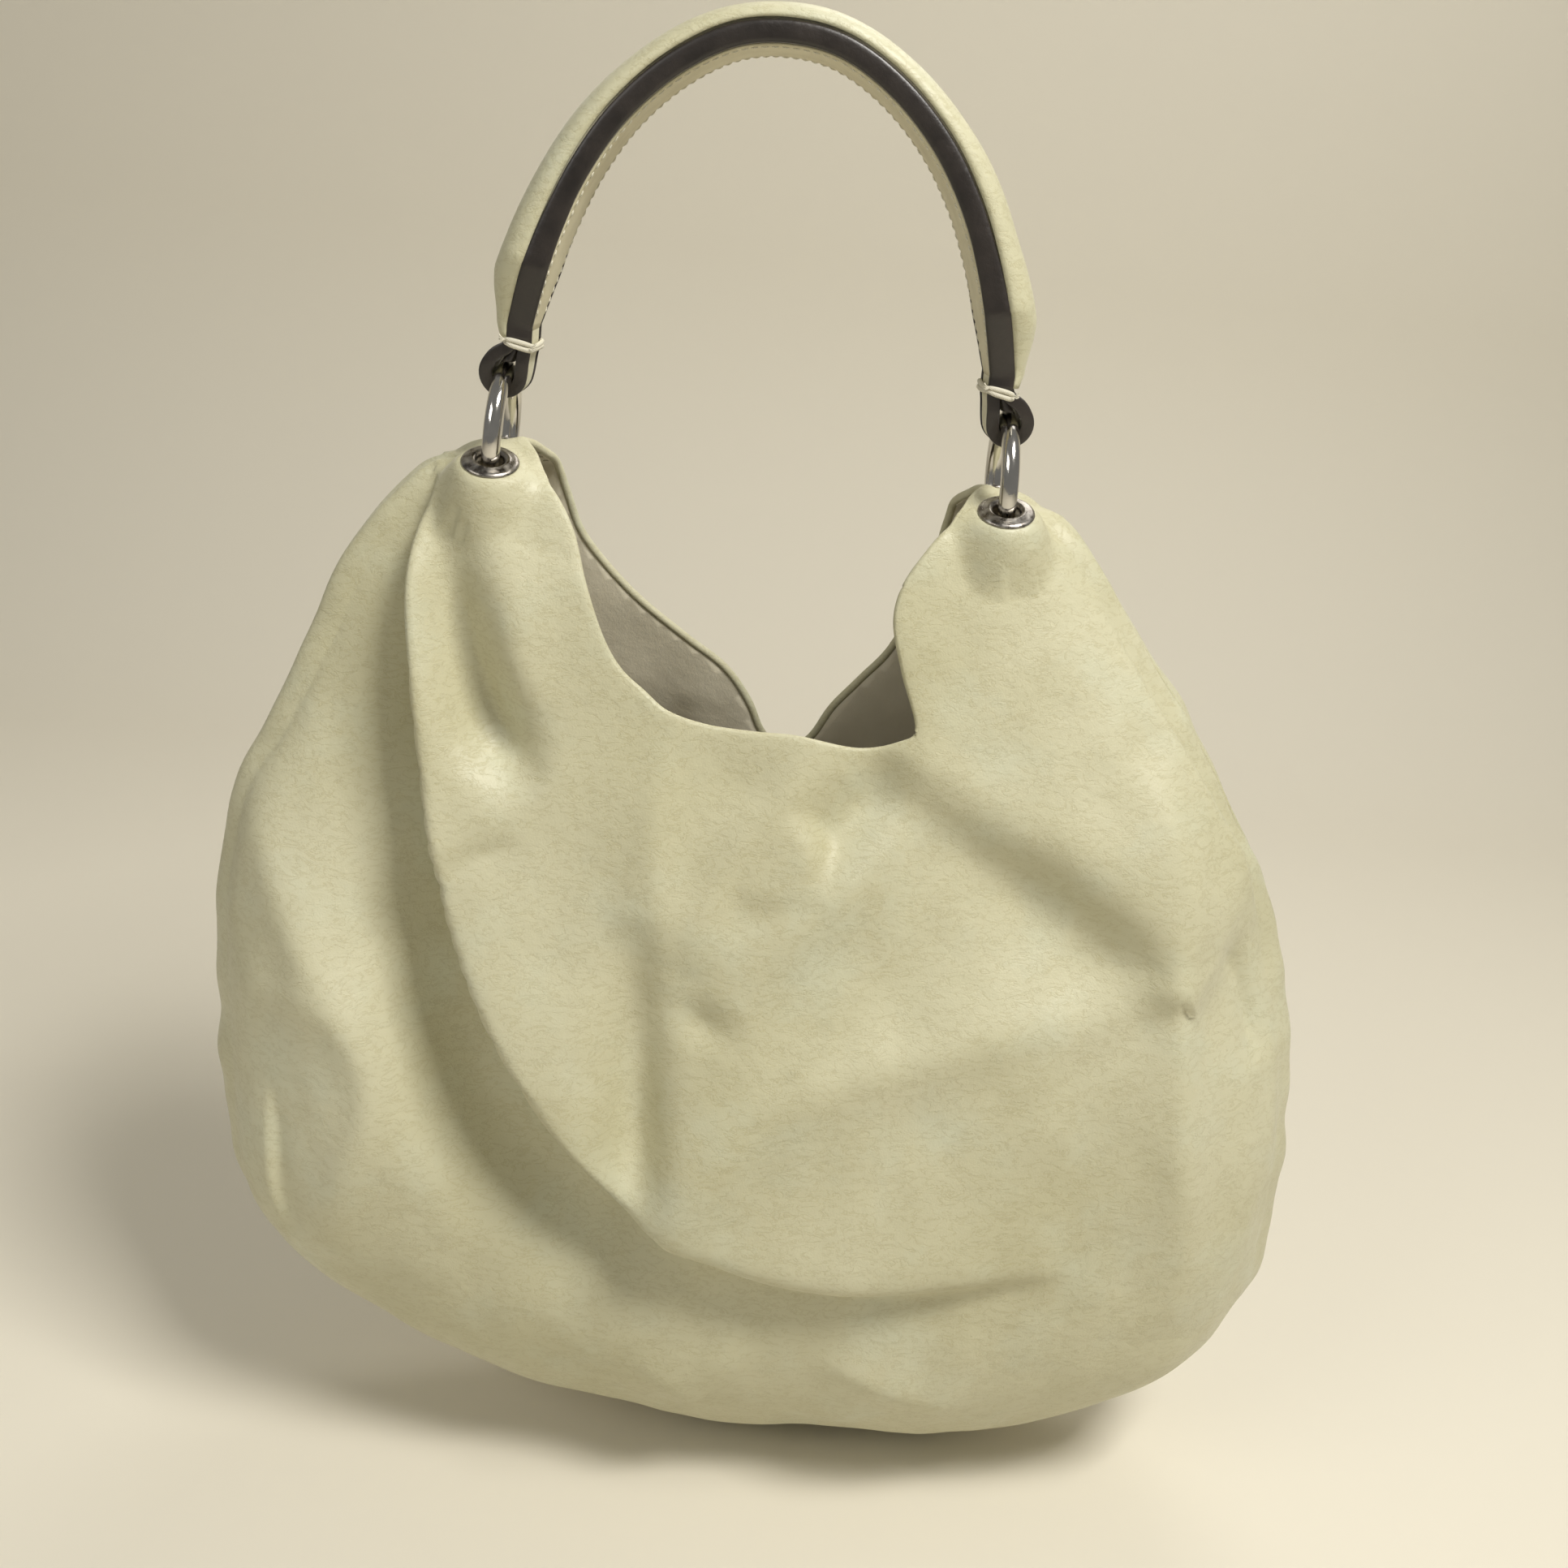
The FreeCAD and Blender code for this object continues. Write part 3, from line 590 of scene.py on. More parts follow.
def mouth_in_domain(mouth):
    """The mouth's edge as a line of (s, t)."""
    mouth_xz = np.array([(x, RING_Z - drop) for x, drop in mouth], float)
    line = smooth_line(mouth_xz, 10)
    return np.clip(to_domain(line[:, 0], line[:, 1]), (-SEAM, 0), (SEAM, LEVEL_REACH[-1]))


def distance_to_line(points, line):
    """The distance from each point to a line of points."""
    best = np.full(len(points), 1e9)
    for a, b in zip(line[:-1], line[1:]):
        step = b - a
        share = np.clip((points - a) @ step / (step @ step + 1e-9), 0, 1)
        best = np.minimum(best, np.linalg.norm(points - a - share[:, None] * step, axis=1))
    return best


def panel_domain(mouth_line, spacing):
    """A triangle mesh of (s, t) bounded by the seams, the horn tops and the mouth."""
    bottom = LEVEL_REACH[-1]
    sides = (
        np.array([(-SEAM, 0), (-SEAM, bottom)]),
        np.array([(-SEAM, bottom), (SEAM, bottom)]),
        np.array([(SEAM, bottom), (SEAM, 0)]),
        np.array([(SEAM, 0), mouth_line[-1]]),
        mouth_line[::-1],
        np.array([mouth_line[0], (-SEAM, 0)]),
    )
    outline = np.vstack([resample(side, spacing)[:-1] for side in sides])
    rows = []
    row_step = spacing * 0.866
    for row in range(1, int(bottom / row_step)):
        shift = spacing / 2 if row % 2 else 0
        across = np.arange(-SEAM + spacing * 0.6 + shift, SEAM - spacing * 0.5, spacing)
        rows.append(np.stack([across, np.full(len(across), row * row_step)], 1))
    inner = np.vstack(rows)
    inner = inner[inner[:, 1] < bottom - spacing * 0.6]
    keep = np.ones(len(inner), bool)
    inside = np.zeros(len(inner), bool)
    for (ax, ay), (bx, by) in zip(outline, np.roll(outline, -1, axis=0)):
        keep &= np.hypot(inner[:, 0] - ax, inner[:, 1] - ay) > spacing * 0.62
        crosses = (ay > inner[:, 1]) != (by > inner[:, 1])
        rise = by - ay if by != ay else 1e-9
        cut = ax + (inner[:, 1] - ay) * (bx - ax) / rise
        inside ^= crosses & (inner[:, 0] < cut)
    points = np.vstack([outline, inner[keep & inside]])
    result = geometry.delaunay_2d_cdt(
        [Vector(p) for p in points], [], [list(range(len(outline)))], 1, 1e-4
    )
    verts = np.array([tuple(v) for v in result[0]])
    return verts, [tuple(f) for f in result[2]]


def vertex_normals(verts, faces):
    """Each vertex's normal, weighted by its triangles' areas."""
    tri = np.array(faces)
    cross = np.cross(verts[tri[:, 1]] - verts[tri[:, 0]], verts[tri[:, 2]] - verts[tri[:, 0]])
    normals = np.zeros_like(verts)
    for corner in range(3):
        np.add.at(normals, tri[:, corner], cross)
    return unit(normals)


def boundary_edges(faces):
    """Directed edges that belong to one triangle only."""
    seen = {}
    for a, b, c in faces:
        for edge in ((a, b), (b, c), (c, a)):
            seen[edge] = True
    return [edge for edge in seen if (edge[1], edge[0]) not in seen]


def sheet_piece(name, sheet, gauge, slot, node, rounded=True):
    """A piece of the bag from a (verts, faces) sheet, its edges rolled in a half round."""
    verts, faces = sheet
    normals = vertex_normals(verts, faces)
    inner = verts - normals * gauge
    count = len(verts)
    out_verts = [verts, inner]
    out_faces = list(faces) + [(c + count, b + count, a + count) for a, b, c in faces]
    edges = boundary_edges(faces)
    away = {}
    for a, b in edges:
        along = verts[b] - verts[a]
        for vertex in (a, b):
            direction = np.cross(along, normals[vertex])
            length = np.linalg.norm(direction)
            if length > 1e-9:
                away[vertex] = away.get(vertex, 0) + direction / length
    rim = {}
    total = 2 * count
    extra = []
    angles = (45, 90, 135) if rounded else ()
    for vertex, direction in away.items():
        direction = unit(direction)
        middle = (verts[vertex] + inner[vertex]) / 2
        chain = [vertex]
        for degrees in angles:
            angle = math.radians(degrees)
            turned = normals[vertex] * math.cos(angle) + direction * math.sin(angle)
            extra.append(middle + turned * gauge / 2)
            chain.append(total)
            total += 1
        rim[vertex] = chain + [vertex + count]
    for a, b in edges:
        for step in range(len(rim[a]) - 1):
            out_faces.append((rim[b][step], rim[a][step], rim[a][step + 1], rim[b][step + 1]))
    if extra:
        out_verts.append(np.array(extra))
    piece = make_mesh(name, np.vstack(out_verts), out_faces)
    return finish_piece(piece, "bag", slot, node)


def used_only(verts, tri):
    """The vertices that the triangles use, and the triangles renumbered."""
    used, renumbered = np.unique(np.asarray(tri), return_inverse=True)
    return verts[used], [tuple(f) for f in renumbered.reshape(-1, 3)]


def without_eyelet_holes(verts, faces, face_sign):
    """The mesh left once the eyelets' holes are punched."""
    tri = np.array(faces)
    middle = verts[tri].mean(axis=1)
    keep = np.ones(len(tri), bool)
    for _, side_sign in SIDES:
        height, radial, _ = eyelet_offsets(middle, side_sign, face_sign)
        keep &= ~((radial < EYELET_HOLE) & (np.abs(height) < SEAT_REACH))
    return used_only(verts, tri[keep])


def orient(faces, verts, face_sign):
    """Faces turned so that their normals leave the bag."""
    a, b, c = (verts[faces[len(faces) // 2][k]] for k in range(3))
    if np.cross(b - a, c - a)[1] * face_sign < 0:
        return [(c, b, a) for a, b, c in faces]
    return faces


# ---------------- bag
SNAP_X = 22.0
SNAP_Z = RING_Z - 148.0
POCKET_LOW = node_span("pocket_pouch")[0]
POCKET_HIGH = node_span("zip_frame")[1]
EYELET_HOLE = 7.6
MOUTHS = {"front": FRONT_MOUTH, "back": BACK_MOUTH}
# The mouth's turned edge: its radius, and the spacing of its points.
MOUTH_ROLL = {"front": 1.35, "back": 1.75}
ROLL_SPACING = 1.6
# The room left between one layer and the next.
LAYER_GAP = 0.05
PATCH_GAUGE = 0.7
POCKET_GAUGE = 1.6
TAPE_GAUGE = 0.8
# How near the eyelet's seat leather has to be to be punched or patched.
SEAT_REACH = 12.0
# The inside of the lined wall, below the leather's face.
LINED = LEATHER + CLOTH + 2 * LAYER_GAP


def build_half(face, face_sign, spacing):
    """The leather, facing, lining and horn patches of the front or the back."""
    mouth_line = mouth_in_domain(MOUTHS[face])
    domain, faces = panel_domain(mouth_line, spacing)
    s, t = domain[:, 0], domain[:, 1]
    mouth_distance = distance_to_line(domain, mouth_line)
    outside, held = body_points(face_sign, s, t, mouth_distance)
    faces = orient(faces, outside, face_sign)
    punched = without_eyelet_holes(outside, faces, face_sign)
    sheet_piece(face + "_leather", punched, LEATHER, "cream_leather", face + "_panel")
    normals = vertex_normals(held, faces)
    inside = held - normals * (LEATHER + LAYER_GAP)
    facing_edge = RING_Z - FACING_DROP
    near_edge = np.abs(inside[:, 2] - facing_edge) < spacing * 0.6
    inside[near_edge, 2] = facing_edge
    tri = np.array(faces)
    above = inside[tri].mean(axis=1)[:, 2] > facing_edge
    for label, slot, chosen in (
        ("facing", "suede_facing", above),
        ("lining", "lining_cloth", ~above),
    ):
        punched = without_eyelet_holes(*used_only(inside, tri[chosen]), face_sign)
        node = face + "_" + label
        sheet_piece(node + "_cloth", punched, CLOTH, slot, node, False)
    under = held - normals * LINED
    middle = under[tri].mean(axis=1)
    for side, side_sign in SIDES:
        height, radial, _ = eyelet_offsets(middle, side_sign, face_sign)
        disc = (radial < PATCH_RADIUS) & (radial > EYELET_HOLE) & (np.abs(height) < SEAT_REACH)
        name = side + "_" + face
        patch = used_only(under, tri[disc])
        node = "horn_patch_" + name
        sheet_piece("patch_disc_" + name, patch, PATCH_GAUGE, "suede_facing", node)


def build_mouth_roll(face, face_sign):
    """The mouth's edge, where the leather is turned over a filler."""
    s, t = resample(mouth_in_domain(MOUTHS[face]), ROLL_SPACING).T
    edge = body_points(face_sign, s, t, np.zeros(len(s)))[0]
    radius = MOUTH_ROLL[face]
    path = edge - shell_normals(face_sign, s, t) * (radius + 2 * LAYER_GAP)
    closed_piece(face + "_mouth_roll", tube(path, radius, 14), "bag", "cream_leather")


def build_seam_tape():
    """The tape that binds the seam inside, down one side, under the base and up the other."""
    low, high = node_span("seam_tape")
    rows = LEVELS[(LEVELS[:, 0] < high[2]) & (LEVELS[:, 0] > low[2] + 4)]
    left = [(row[1] + 5.5, row[0]) for row in rows]
    right = [(row[2] - 5.5, row[0]) for row in rows[::-1]]
    base_z = low[2] + 2.0
    base = [(left[-1][0] + 6, base_z), (right[0][0] - 6, base_z)]
    line = resample(np.array(left + base + right), 5)
    sections = np.repeat(rounded_section(6.0, 0.45, 5.0)[None], len(line), 0)
    skin = sweep(line, -left_normals(line), sections)
    closed_piece("seam_binding", skin, "bag", "suede_facing", "seam_tape")


def back_wall(x, z, depth):
    """Points on the back's plain inside, a depth below the leather's face."""
    s, t = to_domain(x, z).T
    return shell(1, s, t) - shell_normals(1, s, t) * depth[:, None]


def wall_sheet(x_lines, z_lines, depth=None, skip=None):
    """A sheet on the back's inside wall, over a grid of x and z lines."""
    x, z = np.meshgrid(x_lines, z_lines)
    x, z = x.ravel(), z.ravel()
    verts = back_wall(x, z, depth(x, z) if depth else np.full(len(x), LINED))
    columns = len(x_lines)
    faces = []
    for row, centre_z in enumerate((z_lines[1:] + z_lines[:-1]) / 2):
        for column, centre_x in enumerate((x_lines[1:] + x_lines[:-1]) / 2):
            if skip and skip(centre_x, centre_z):
                continue
            a = row * columns + column
            b, c, d = a + 1, a + columns + 1, a + columns
            faces += [(a, b, c), (a, c, d)]
    return used_only(verts, orient(faces, verts, 1))


def spaced(low, high, step, *stops):
    """Grid lines from low to high that include the stops."""
    marks = sorted({low, high, *stops})
    lines = [marks[0]]
    for start, end in zip(marks, marks[1:]):
        count = max(1, int(round((end - start) / step)))
        lines += list(np.linspace(start, end, count + 1)[1:])
    return np.array(lines)


def build_pocket():
    """The zipped pocket: leather frame, tape, teeth and the pouch below."""
    frame_low, frame_high = node_span("zip_frame")
    tape_low, tape_high = node_span("zip_tape")
    pouch_low, pouch_high = node_span("pocket_pouch")

    def in_window(x, z):
        return tape_low[0] < x < tape_high[0] and tape_low[2] < z < tape_high[2]

    x_lines = spaced(frame_low[0], frame_high[0], 4, tape_low[0], tape_high[0])
    z_lines = spaced(frame_low[2], frame_high[2], 3, tape_low[2], tape_high[2])
    border = wall_sheet(x_lines, z_lines, skip=in_window)
    sheet_piece("pocket_border", border, POCKET_GAUGE, "suede_facing", "zip_frame")
    x_lines = spaced(tape_low[0], tape_high[0], 4)
    z_lines = spaced(tape_low[2], tape_high[2], 2.4)
    tape = wall_sheet(x_lines, z_lines)
    sheet_piece("pocket_zip_tape", tape, TAPE_GAUGE, "lining_cloth", "zip_tape")
    x_lines = spaced(pouch_low[0] + 1, pouch_high[0] - 1, 4)
    z_lines = spaced(pouch_low[2] + 1, pouch_high[2] - 1, 4)

    def puff(x, z):
        wide = np.sin(math.pi * (x - x_lines[0]) / (x_lines[-1] - x_lines[0]))
        tall = np.sin(math.pi * (z - z_lines[0]) / (z_lines[-1] - z_lines[0]))
        return LINED + 1.4 * np.sqrt(np.maximum(wide * tall, 0)) * (1 + 0.5 * np.sin(x / 17))

    pouch = wall_sheet(x_lines, z_lines, puff)
    sheet_piece("pocket_bag", pouch, POCKET_GAUGE, "lining_cloth", "pocket_pouch")
    build_teeth()


def build_teeth():
    """The zip's teeth: two rows of small hooked blocks."""
    chain_low, chain_high = node_span("zip_chain")
    middle = (chain_low[2] + chain_high[2]) / 2
    pitch = 0.8
    x = np.arange(chain_low[0] + pitch, chain_high[0] - pitch, pitch)
    row = np.where(np.arange(len(x)) % 2 == 0, 1, -1)
    centres = back_wall(x, middle + row * 0.55, np.full(len(x), LEATHER + CLOTH + 1.6))
    parts = []
    for centre, sign in zip(centres, row):
        verts = []
        for half_wide, reach in ((0.52, 1.35), (0.36, -0.95)):
            for across, out in ((-1, -1), (1, -1), (1, 1), (-1, 1)):
                verts.append(centre + (across * half_wide, out * 0.7, sign * reach))
        parts.append((np.array(verts), skin_faces(2, 4)))
    closed_piece("zip_teeth", join_parts(parts), "bag", "nickel", "zip_chain", smooth=False)


def build_eyelets():
    """Domed eyelets with a turned lip, a shallow groove and a barrel through the leather."""
    profile = (
        (5.35, -3.9), (5.35, -0.4), (5.45, 0.6), (5.9, 1.35), (6.6, 1.75), (7.5, 1.8),
        (7.75, 1.62), (8.1, 1.62), (9.3, 1.2), (9.6, 1.22), (10.3, 0.85), (10.85, 0.4),
        (11.0, 0.05), (10.9, -0.12), (10.3, -0.16), (6.3, -0.16), (6.2, -0.4), (6.2, -3.9),
    )
    for side, side_sign in SIDES:
        for face, face_sign in FACES:
            skin = lathe(profile, *eyelet_frame(side_sign, face_sign))
            name = "eyelet_" + side + "_" + face
            closed_piece("domed_" + name, skin, "bag", "aged_nickel", name)


# ---------------- strap
def strap_line(spacing, reach=0.0):
    """The strap's line from neck to neck: points, ways out and drops below the middle."""
    right = [(share * STRAP_HALF_SPAN, STRAP_HALF_EDGE - drop) for share, drop in STRAP_CURVE]
    left = [(-x, z) for x, z in right[:0:-1]]
    line = smooth_line(left + right, 12)
    if reach:
        line = np.vstack([line[:1] - (0, reach), line, line[-1:] - (0, reach)])
    line = resample(line, spacing)
    return line, left_normals(line), STRAP_HALF_EDGE - line[:, 1]


def half_width(drop):
    """Half the strap's width, which tapers to the necks."""
    return np.interp(drop, (SHOULDER_DROP, NECK_DROP), (STRAP_HALF_WIDTH, NECK_HALF_WIDTH))


def build_cover():
    """The padded cream cover: a crown that grows towards the flares, then tucks in."""
    line, outward, drop = strap_line(2.0, 4.5)
    crown = np.interp(
        drop, (0, 20, 50, 78, 92, 98, 106, 112), (6.2, 7.2, 9.2, 10.8, 11.2, 9.4, 6.0, 3.4)
    )
    crown += 0.5 * wrinkles(np.stack([line[:, 0], drop * 0, line[:, 1]], 1), 24, 5.0, (1, 1, 1))
    angles = np.linspace(0, math.pi, 25)
    across = np.sign(np.cos(angles)) * np.abs(np.cos(angles)) ** (2 / 3.0)
    rise = np.abs(np.sin(angles)) ** (2 / 2.6)
    base = np.linspace(-1, 1, 9)[1:-1]
    outline = np.stack([np.append(across, base), np.append(rise, base * 0)], 1)
    floor = STRAP_HALF_EDGE + LAYER_GAP
    sections = band(line, outline, 0, half_width(drop) - 0.5, floor, crown)
    skin = sweep(line, outward, sections)
    cover = closed_piece("padded_cover", skin, "strap", "cream_leather", "strap_cover")


def build_strap_edges():
    """The dark edges, rounded and a little deeper towards the ends."""
    line, outward, drop = strap_line(2.0, 5.5)
    half_tall = np.interp(drop, (0, 60, 90, 112), (3.7, 4.0, 5.0, 4.8))
    outline = rounded_section(1.0, 1.0, 3.2, 28)
    for face, face_sign in FACES:
        middle = face_sign * (half_width(drop) - 1.4)
        skin = sweep(line, outward, band(line, outline, middle, 1.75, 0, half_tall))
        name = "burnished_edge_" + face
        closed_piece(name, skin, "strap", "brown_leather", "strap_edge_" + face)


def build_strap_lining():
    """The underside's leather strip, with a row of stitches along each edge."""
    line, outward, drop = strap_line(2.5)
    outline = rounded_section(1.0, 1.0, 4.0, 28)
    sections = band(line, outline, 0, half_width(drop) - 2.6, 0.55 - STRAP_HALF_EDGE, 0.95)
    skin = sweep(line, outward, sections)
    strip = closed_piece("underside_strip", skin, "strap", "suede_facing", "strap_lining")
    strip.data.materials[0] = MATERIALS["underside"]
    line, outward, drop = strap_line(1.3)
    # Each stitch shows as three points whose ends dip into the leather.
    below = (STRAP_HALF_EDGE + np.array([[0.0], [0.35], [0.0]]))
    parts = []
    for sign in (-1, 1):
        for start in range(4, len(line) - 6, 3):
            stitch = slice(start, start + 3)
            x, z = (line[stitch] - outward[stitch] * below).T
            across = sign * (half_width(drop[stitch]) - 4.6)
            parts.append(tube(np.stack([x, across, z], 1), 0.42, 6))
    closed_piece("strap_stitches", join_parts(parts), "strap", "thread")


def build_tab(side, sign):
    """The strap's end: a band that goes round the ring and back up into the neck."""
    neck = STRAP_HALF_SPAN
    inside = neck - 2.5
    outside = neck + 2.5
    bend = 6.7
    points = [(inside, STRAP_FLOOR + 3), (inside + 0.1, -107), (inside + 0.2, -111)]
    points += [(inside + 0.9, -115.5)]
    for degrees in range(180, 391, 30):
        angle = math.radians(degrees)
        points += [(LOOP_X + bend * math.cos(angle), LOOP_Z - 0.5 + bend * math.sin(angle))]
    points += [(outside + 6.1, -114.2), (outside + 1.7, -111.4), (outside, -108)]
    points += [(outside, STRAP_FLOOR + 3)]
    line = resample(smooth_line(points, 8), 1.2) * (sign, 1)
    outward = left_normals(line) * -sign
    # The loop narrows towards the ring.
    narrow = np.interp(line[:, 1], (LOOP_Z - 7, LOOP_Z + 3, -108), (8.6, 11.6, 12.6))
    half = np.where(np.abs(line[:, 1] - LOOP_Z) < 30, narrow, 12)
    outline = rounded_section(1.0, 1.0, 3.6, 24)
    skin = sweep(line, outward, band(line, outline, 0, half - 0.9, 0, 2.3))
    closed_piece("strap_loop_" + side, skin, "strap", "cream_leather", "strap_tab_" + side)
    for face, face_sign in FACES:
        edge = band(line, outline, face_sign * (half - 0.75), 0.75, 0, 2.5)
        name = "loop_edge_" + side + "_" + face
        closed_piece(name, sweep(line, outward, edge), "strap", "brown_leather")
    wedge = [(neck + 0.8, -109.0), (neck + 2.6, -113.5), (neck + 4.4, -117.0)]
    line = resample(np.array(wedge), 1) * (sign, 1)
    sections = np.repeat(rounded_section(11.0, 2.5, 4.0)[None], len(line), 0)
    skin = sweep(line, np.tile((1.0, 0.0), (len(line), 1)), sections)
    closed_piece("loop_wedge_" + side, skin, "strap", "brown_leather")


def build_tie(side, sign):
    """Waxed thread wound round the neck, with a crossing and two cut ends."""
    centre_x = sign * STRAP_HALF_SPAN
    angles = np.linspace(0, 2 * math.pi, 64, endpoint=False)
    x, y = rounded_section(5.9, 13.9, 4.0, 64).T
    parts = []
    for turn in range(2):
        z = -109.4 - 1.5 * turn - 0.16 * x + 0.35 * np.sin(3 * angles + 2 * turn)
        parts.append(tube(np.stack([centre_x + x, y, z], 1), 0.95, 10, True))
    for end, drop in ((-1, -108.4), (1, -110.6)):
        start = (centre_x + end * 4.8, -14.3, drop)
        for spread in (-1, 0, 1):
            bend = (centre_x + end * 6.0, -15.1, drop + 0.6 * spread)
            tip = (centre_x + end * 6.9, -14.9 - 0.3 * spread, drop + 0.9 * spread + 0.8)
            parts.append(tube(smooth_line((start, bend, tip), 4), 0.3, 6))
    skin = join_parts(parts)
    closed_piece("waxed_thread_" + side, skin, "strap", "thread", "thread_tie_" + side)


# ---------------- materials
def new_material(name):
    """A material, its nodes, its shader and the object's own coordinates."""
    material = bpy.data.materials.new(name)
    material.use_nodes = True
    tree = material.node_tree
    shader = tree.nodes["Principled BSDF"]
    return material, tree, shader, coordinates(tree)


def plug(tree, socket, value):
    """Wire a node's output into a socket, or set the socket to a constant."""
    if hasattr(value, "is_linked"):
        tree.links.new(value, socket)
    elif isinstance(value, tuple) and len(value) == 3 and socket.type == "RGBA":
        socket.default_value = (*value, 1)
    else:
        socket.default_value = value


def dress(tree, node, **looks):
    """Plug each named input of a node: base_color is its Base Color."""
    for name, value in looks.items():
        plug(tree, node.inputs[name.replace("_", " ").title()], value)
    return node


def coordinates(tree, scale=(1, 1, 1)):
    coords = tree.nodes.new("ShaderNodeTexCoord")
    mapping = tree.nodes.new("ShaderNodeMapping")
    return dress(tree, mapping, vector=coords.outputs["Object"], scale=scale).outputs["Vector"]


def noise_node(tree, vector, scale, detail=4.0, roughness=0.5, distortion=0.0):
    node = tree.nodes.new("ShaderNodeTexNoise")
    dress(tree, node, vector=vector, scale=scale, detail=detail, roughness=roughness,
          distortion=distortion)
    return node.outputs["Fac"]


def wave_node(tree, vector, direction, scale):
    node = tree.nodes.new("ShaderNodeTexWave")
    node.bands_direction = direction
    return dress(tree, node, vector=vector, scale=scale).outputs["Fac"]


def ramp(tree, value, *stops):
    """A colour ramp over (position, colour) or (position, grey) stops."""
    node = tree.nodes.new("ShaderNodeValToRGB")
    for element, (position, color) in zip(node.color_ramp.elements, stops):
        element.position = position
        element.color = (*color, 1) if isinstance(color, tuple) else (color, color, color, 1)
    return dress(tree, node, fac=value).outputs["Color"]


def mix_color(tree, factor, first, second, mode="MIX"):
    node = tree.nodes.new("ShaderNodeMix")
    node.data_type = "RGBA"
    node.blend_type = mode
    # A colour mix uses the Mix node's inputs 0, 6 and 7 and its output 2.
    for index, value in ((0, factor), (6, first), (7, second)):
        plug(tree, node.inputs[index], value)
    return node.outputs[2]


def math_node(tree, operation, first, second=0.0):
    node = tree.nodes.new("ShaderNodeMath")
    node.operation = operation
    plug(tree, node.inputs[0], first)
    plug(tree, node.inputs[1], second)
    return node.outputs[0]


def bump(tree, height, strength, distance, normal=None):
    node = tree.nodes.new("ShaderNodeBump")
    dress(tree, node, height=height, strength=strength, distance=distance)
    if normal is not None:
        plug(tree, node.inputs["Normal"], normal)
    return node.outputs["Normal"]


def cell_node(tree, vector, scale):
    """The distance to the nearest edge between cells."""
    node = tree.nodes.new("ShaderNodeTexVoronoi")
    node.feature = "DISTANCE_TO_EDGE"
    return dress(tree, node, vector=vector, scale=scale).outputs["Distance"]


def cream_leather():
    """Pearl cream, with greener patches, fine grain and small creases, the creases darkened with
    painted shade.
    """
    material, tree, shader, vector = new_material("cream_leather")
    broad = noise_node(tree, vector, 9.0, 3.0, 0.55)
    tone = ramp(tree, broad, (0.30, (0.520, 0.492, 0.315)), (0.72, (0.600, 0.575, 0.400)))
    patches = noise_node(tree, vector, 26.0, 4.0, 0.6)
    patch_mask = ramp(tree, patches, (0.50, 0.0), (0.72, 1.0))
    factor = math_node(tree, "MULTIPLY", patch_mask, 0.35)
    tone = mix_color(tree, factor, tone, (0.610, 0.640, 0.500))
    crease_noise = noise_node(tree, coordinates(tree, (1.0, 1.0, 2.2)), 120.0, 5.0, 0.62, 0.6)
    crease = math_node(tree, "ABSOLUTE", math_node(tree, "SUBTRACT", crease_noise, 0.5))
    crease_line = ramp(tree, crease, (0.0, 0.0), (0.035, 1.0))
    # Painted shade: the colour is darkened a little along the small creases.
    crease_shade = ramp(tree, crease_line, (0.0, (0.90, 0.88, 0.82)), (1.0, 1.0))
    fine = bump(tree, cell_node(tree, vector, 780.0), 0.25, 0.0004)
    middle = bump(tree, noise_node(tree, vector, 330.0, 4.0, 0.6), 0.25, 0.0007, fine)
    creased = bump(tree, crease_line, 0.22, 0.0006, middle)
    dress(
        tree, shader,
        base_color=mix_color(tree, 1.0, tone, crease_shade, "MULTIPLY"),
        roughness=ramp(tree, patches, (0.3, 0.54), (0.7, 0.44)),
        sheen_weight=0.12, sheen_roughness=0.4, coat_weight=0.06, coat_roughness=0.36,
        normal=bump(tree, noise_node(tree, vector, 60.0, 3.0, 0.5), 0.35, 0.0022, creased),
    )
    return material


def brown_leather():
    """The strap's dark edges, near black and waxed."""
    material, tree, shader, vector = new_material("brown_leather")
    broad = noise_node(tree, vector, 60.0, 4.0, 0.6)
    dress(
        tree, shader,
        base_color=ramp(tree, broad, (0.3, (0.012, 0.009, 0.007)), (0.75, (0.030, 0.022, 0.017))),
        roughness=ramp(tree, broad, (0.3, 0.34), (0.7, 0.48)),
        coat_weight=0.35, coat_roughness=0.28,
        normal=bump(tree, noise_node(tree, vector, 420.0, 5.0, 0.65), 0.45, 0.0006),
    )
    return material


def suede_facing():
    """Pale suede with a fine nap."""
    material, tree, shader, vector = new_material("suede_facing")
    broad = noise_node(tree, vector, 24.0, 4.0, 0.6)
    fine = bump(tree, noise_node(tree, vector, 900.0, 4.0, 0.7), 0.4, 0.0004)
    dress(
        tree, shader,
        base_color=ramp(tree, broad, (0.3, (0.68, 0.625, 0.47)), (0.7, (0.79, 0.735, 0.575))),
        roughness=0.85, sheen_weight=0.3,
        normal=bump(tree, broad, 0.4, 0.003, fine),
    )
    return material


def underside():
    """Smooth pale leather with a faint grain."""
    material, tree, shader, vector = new_material("strap_underside")
    broad = noise_node(tree, vector, 45.0, 4.0, 0.6)
    dress(
        tree, shader,
        base_color=ramp(tree, broad, (0.3, (0.56, 0.51, 0.34)), (0.7, (0.68, 0.63, 0.45))),
        roughness=0.6,
        normal=bump(tree, cell_node(tree, vector, 900.0), 0.25, 0.0004),
    )
    return material


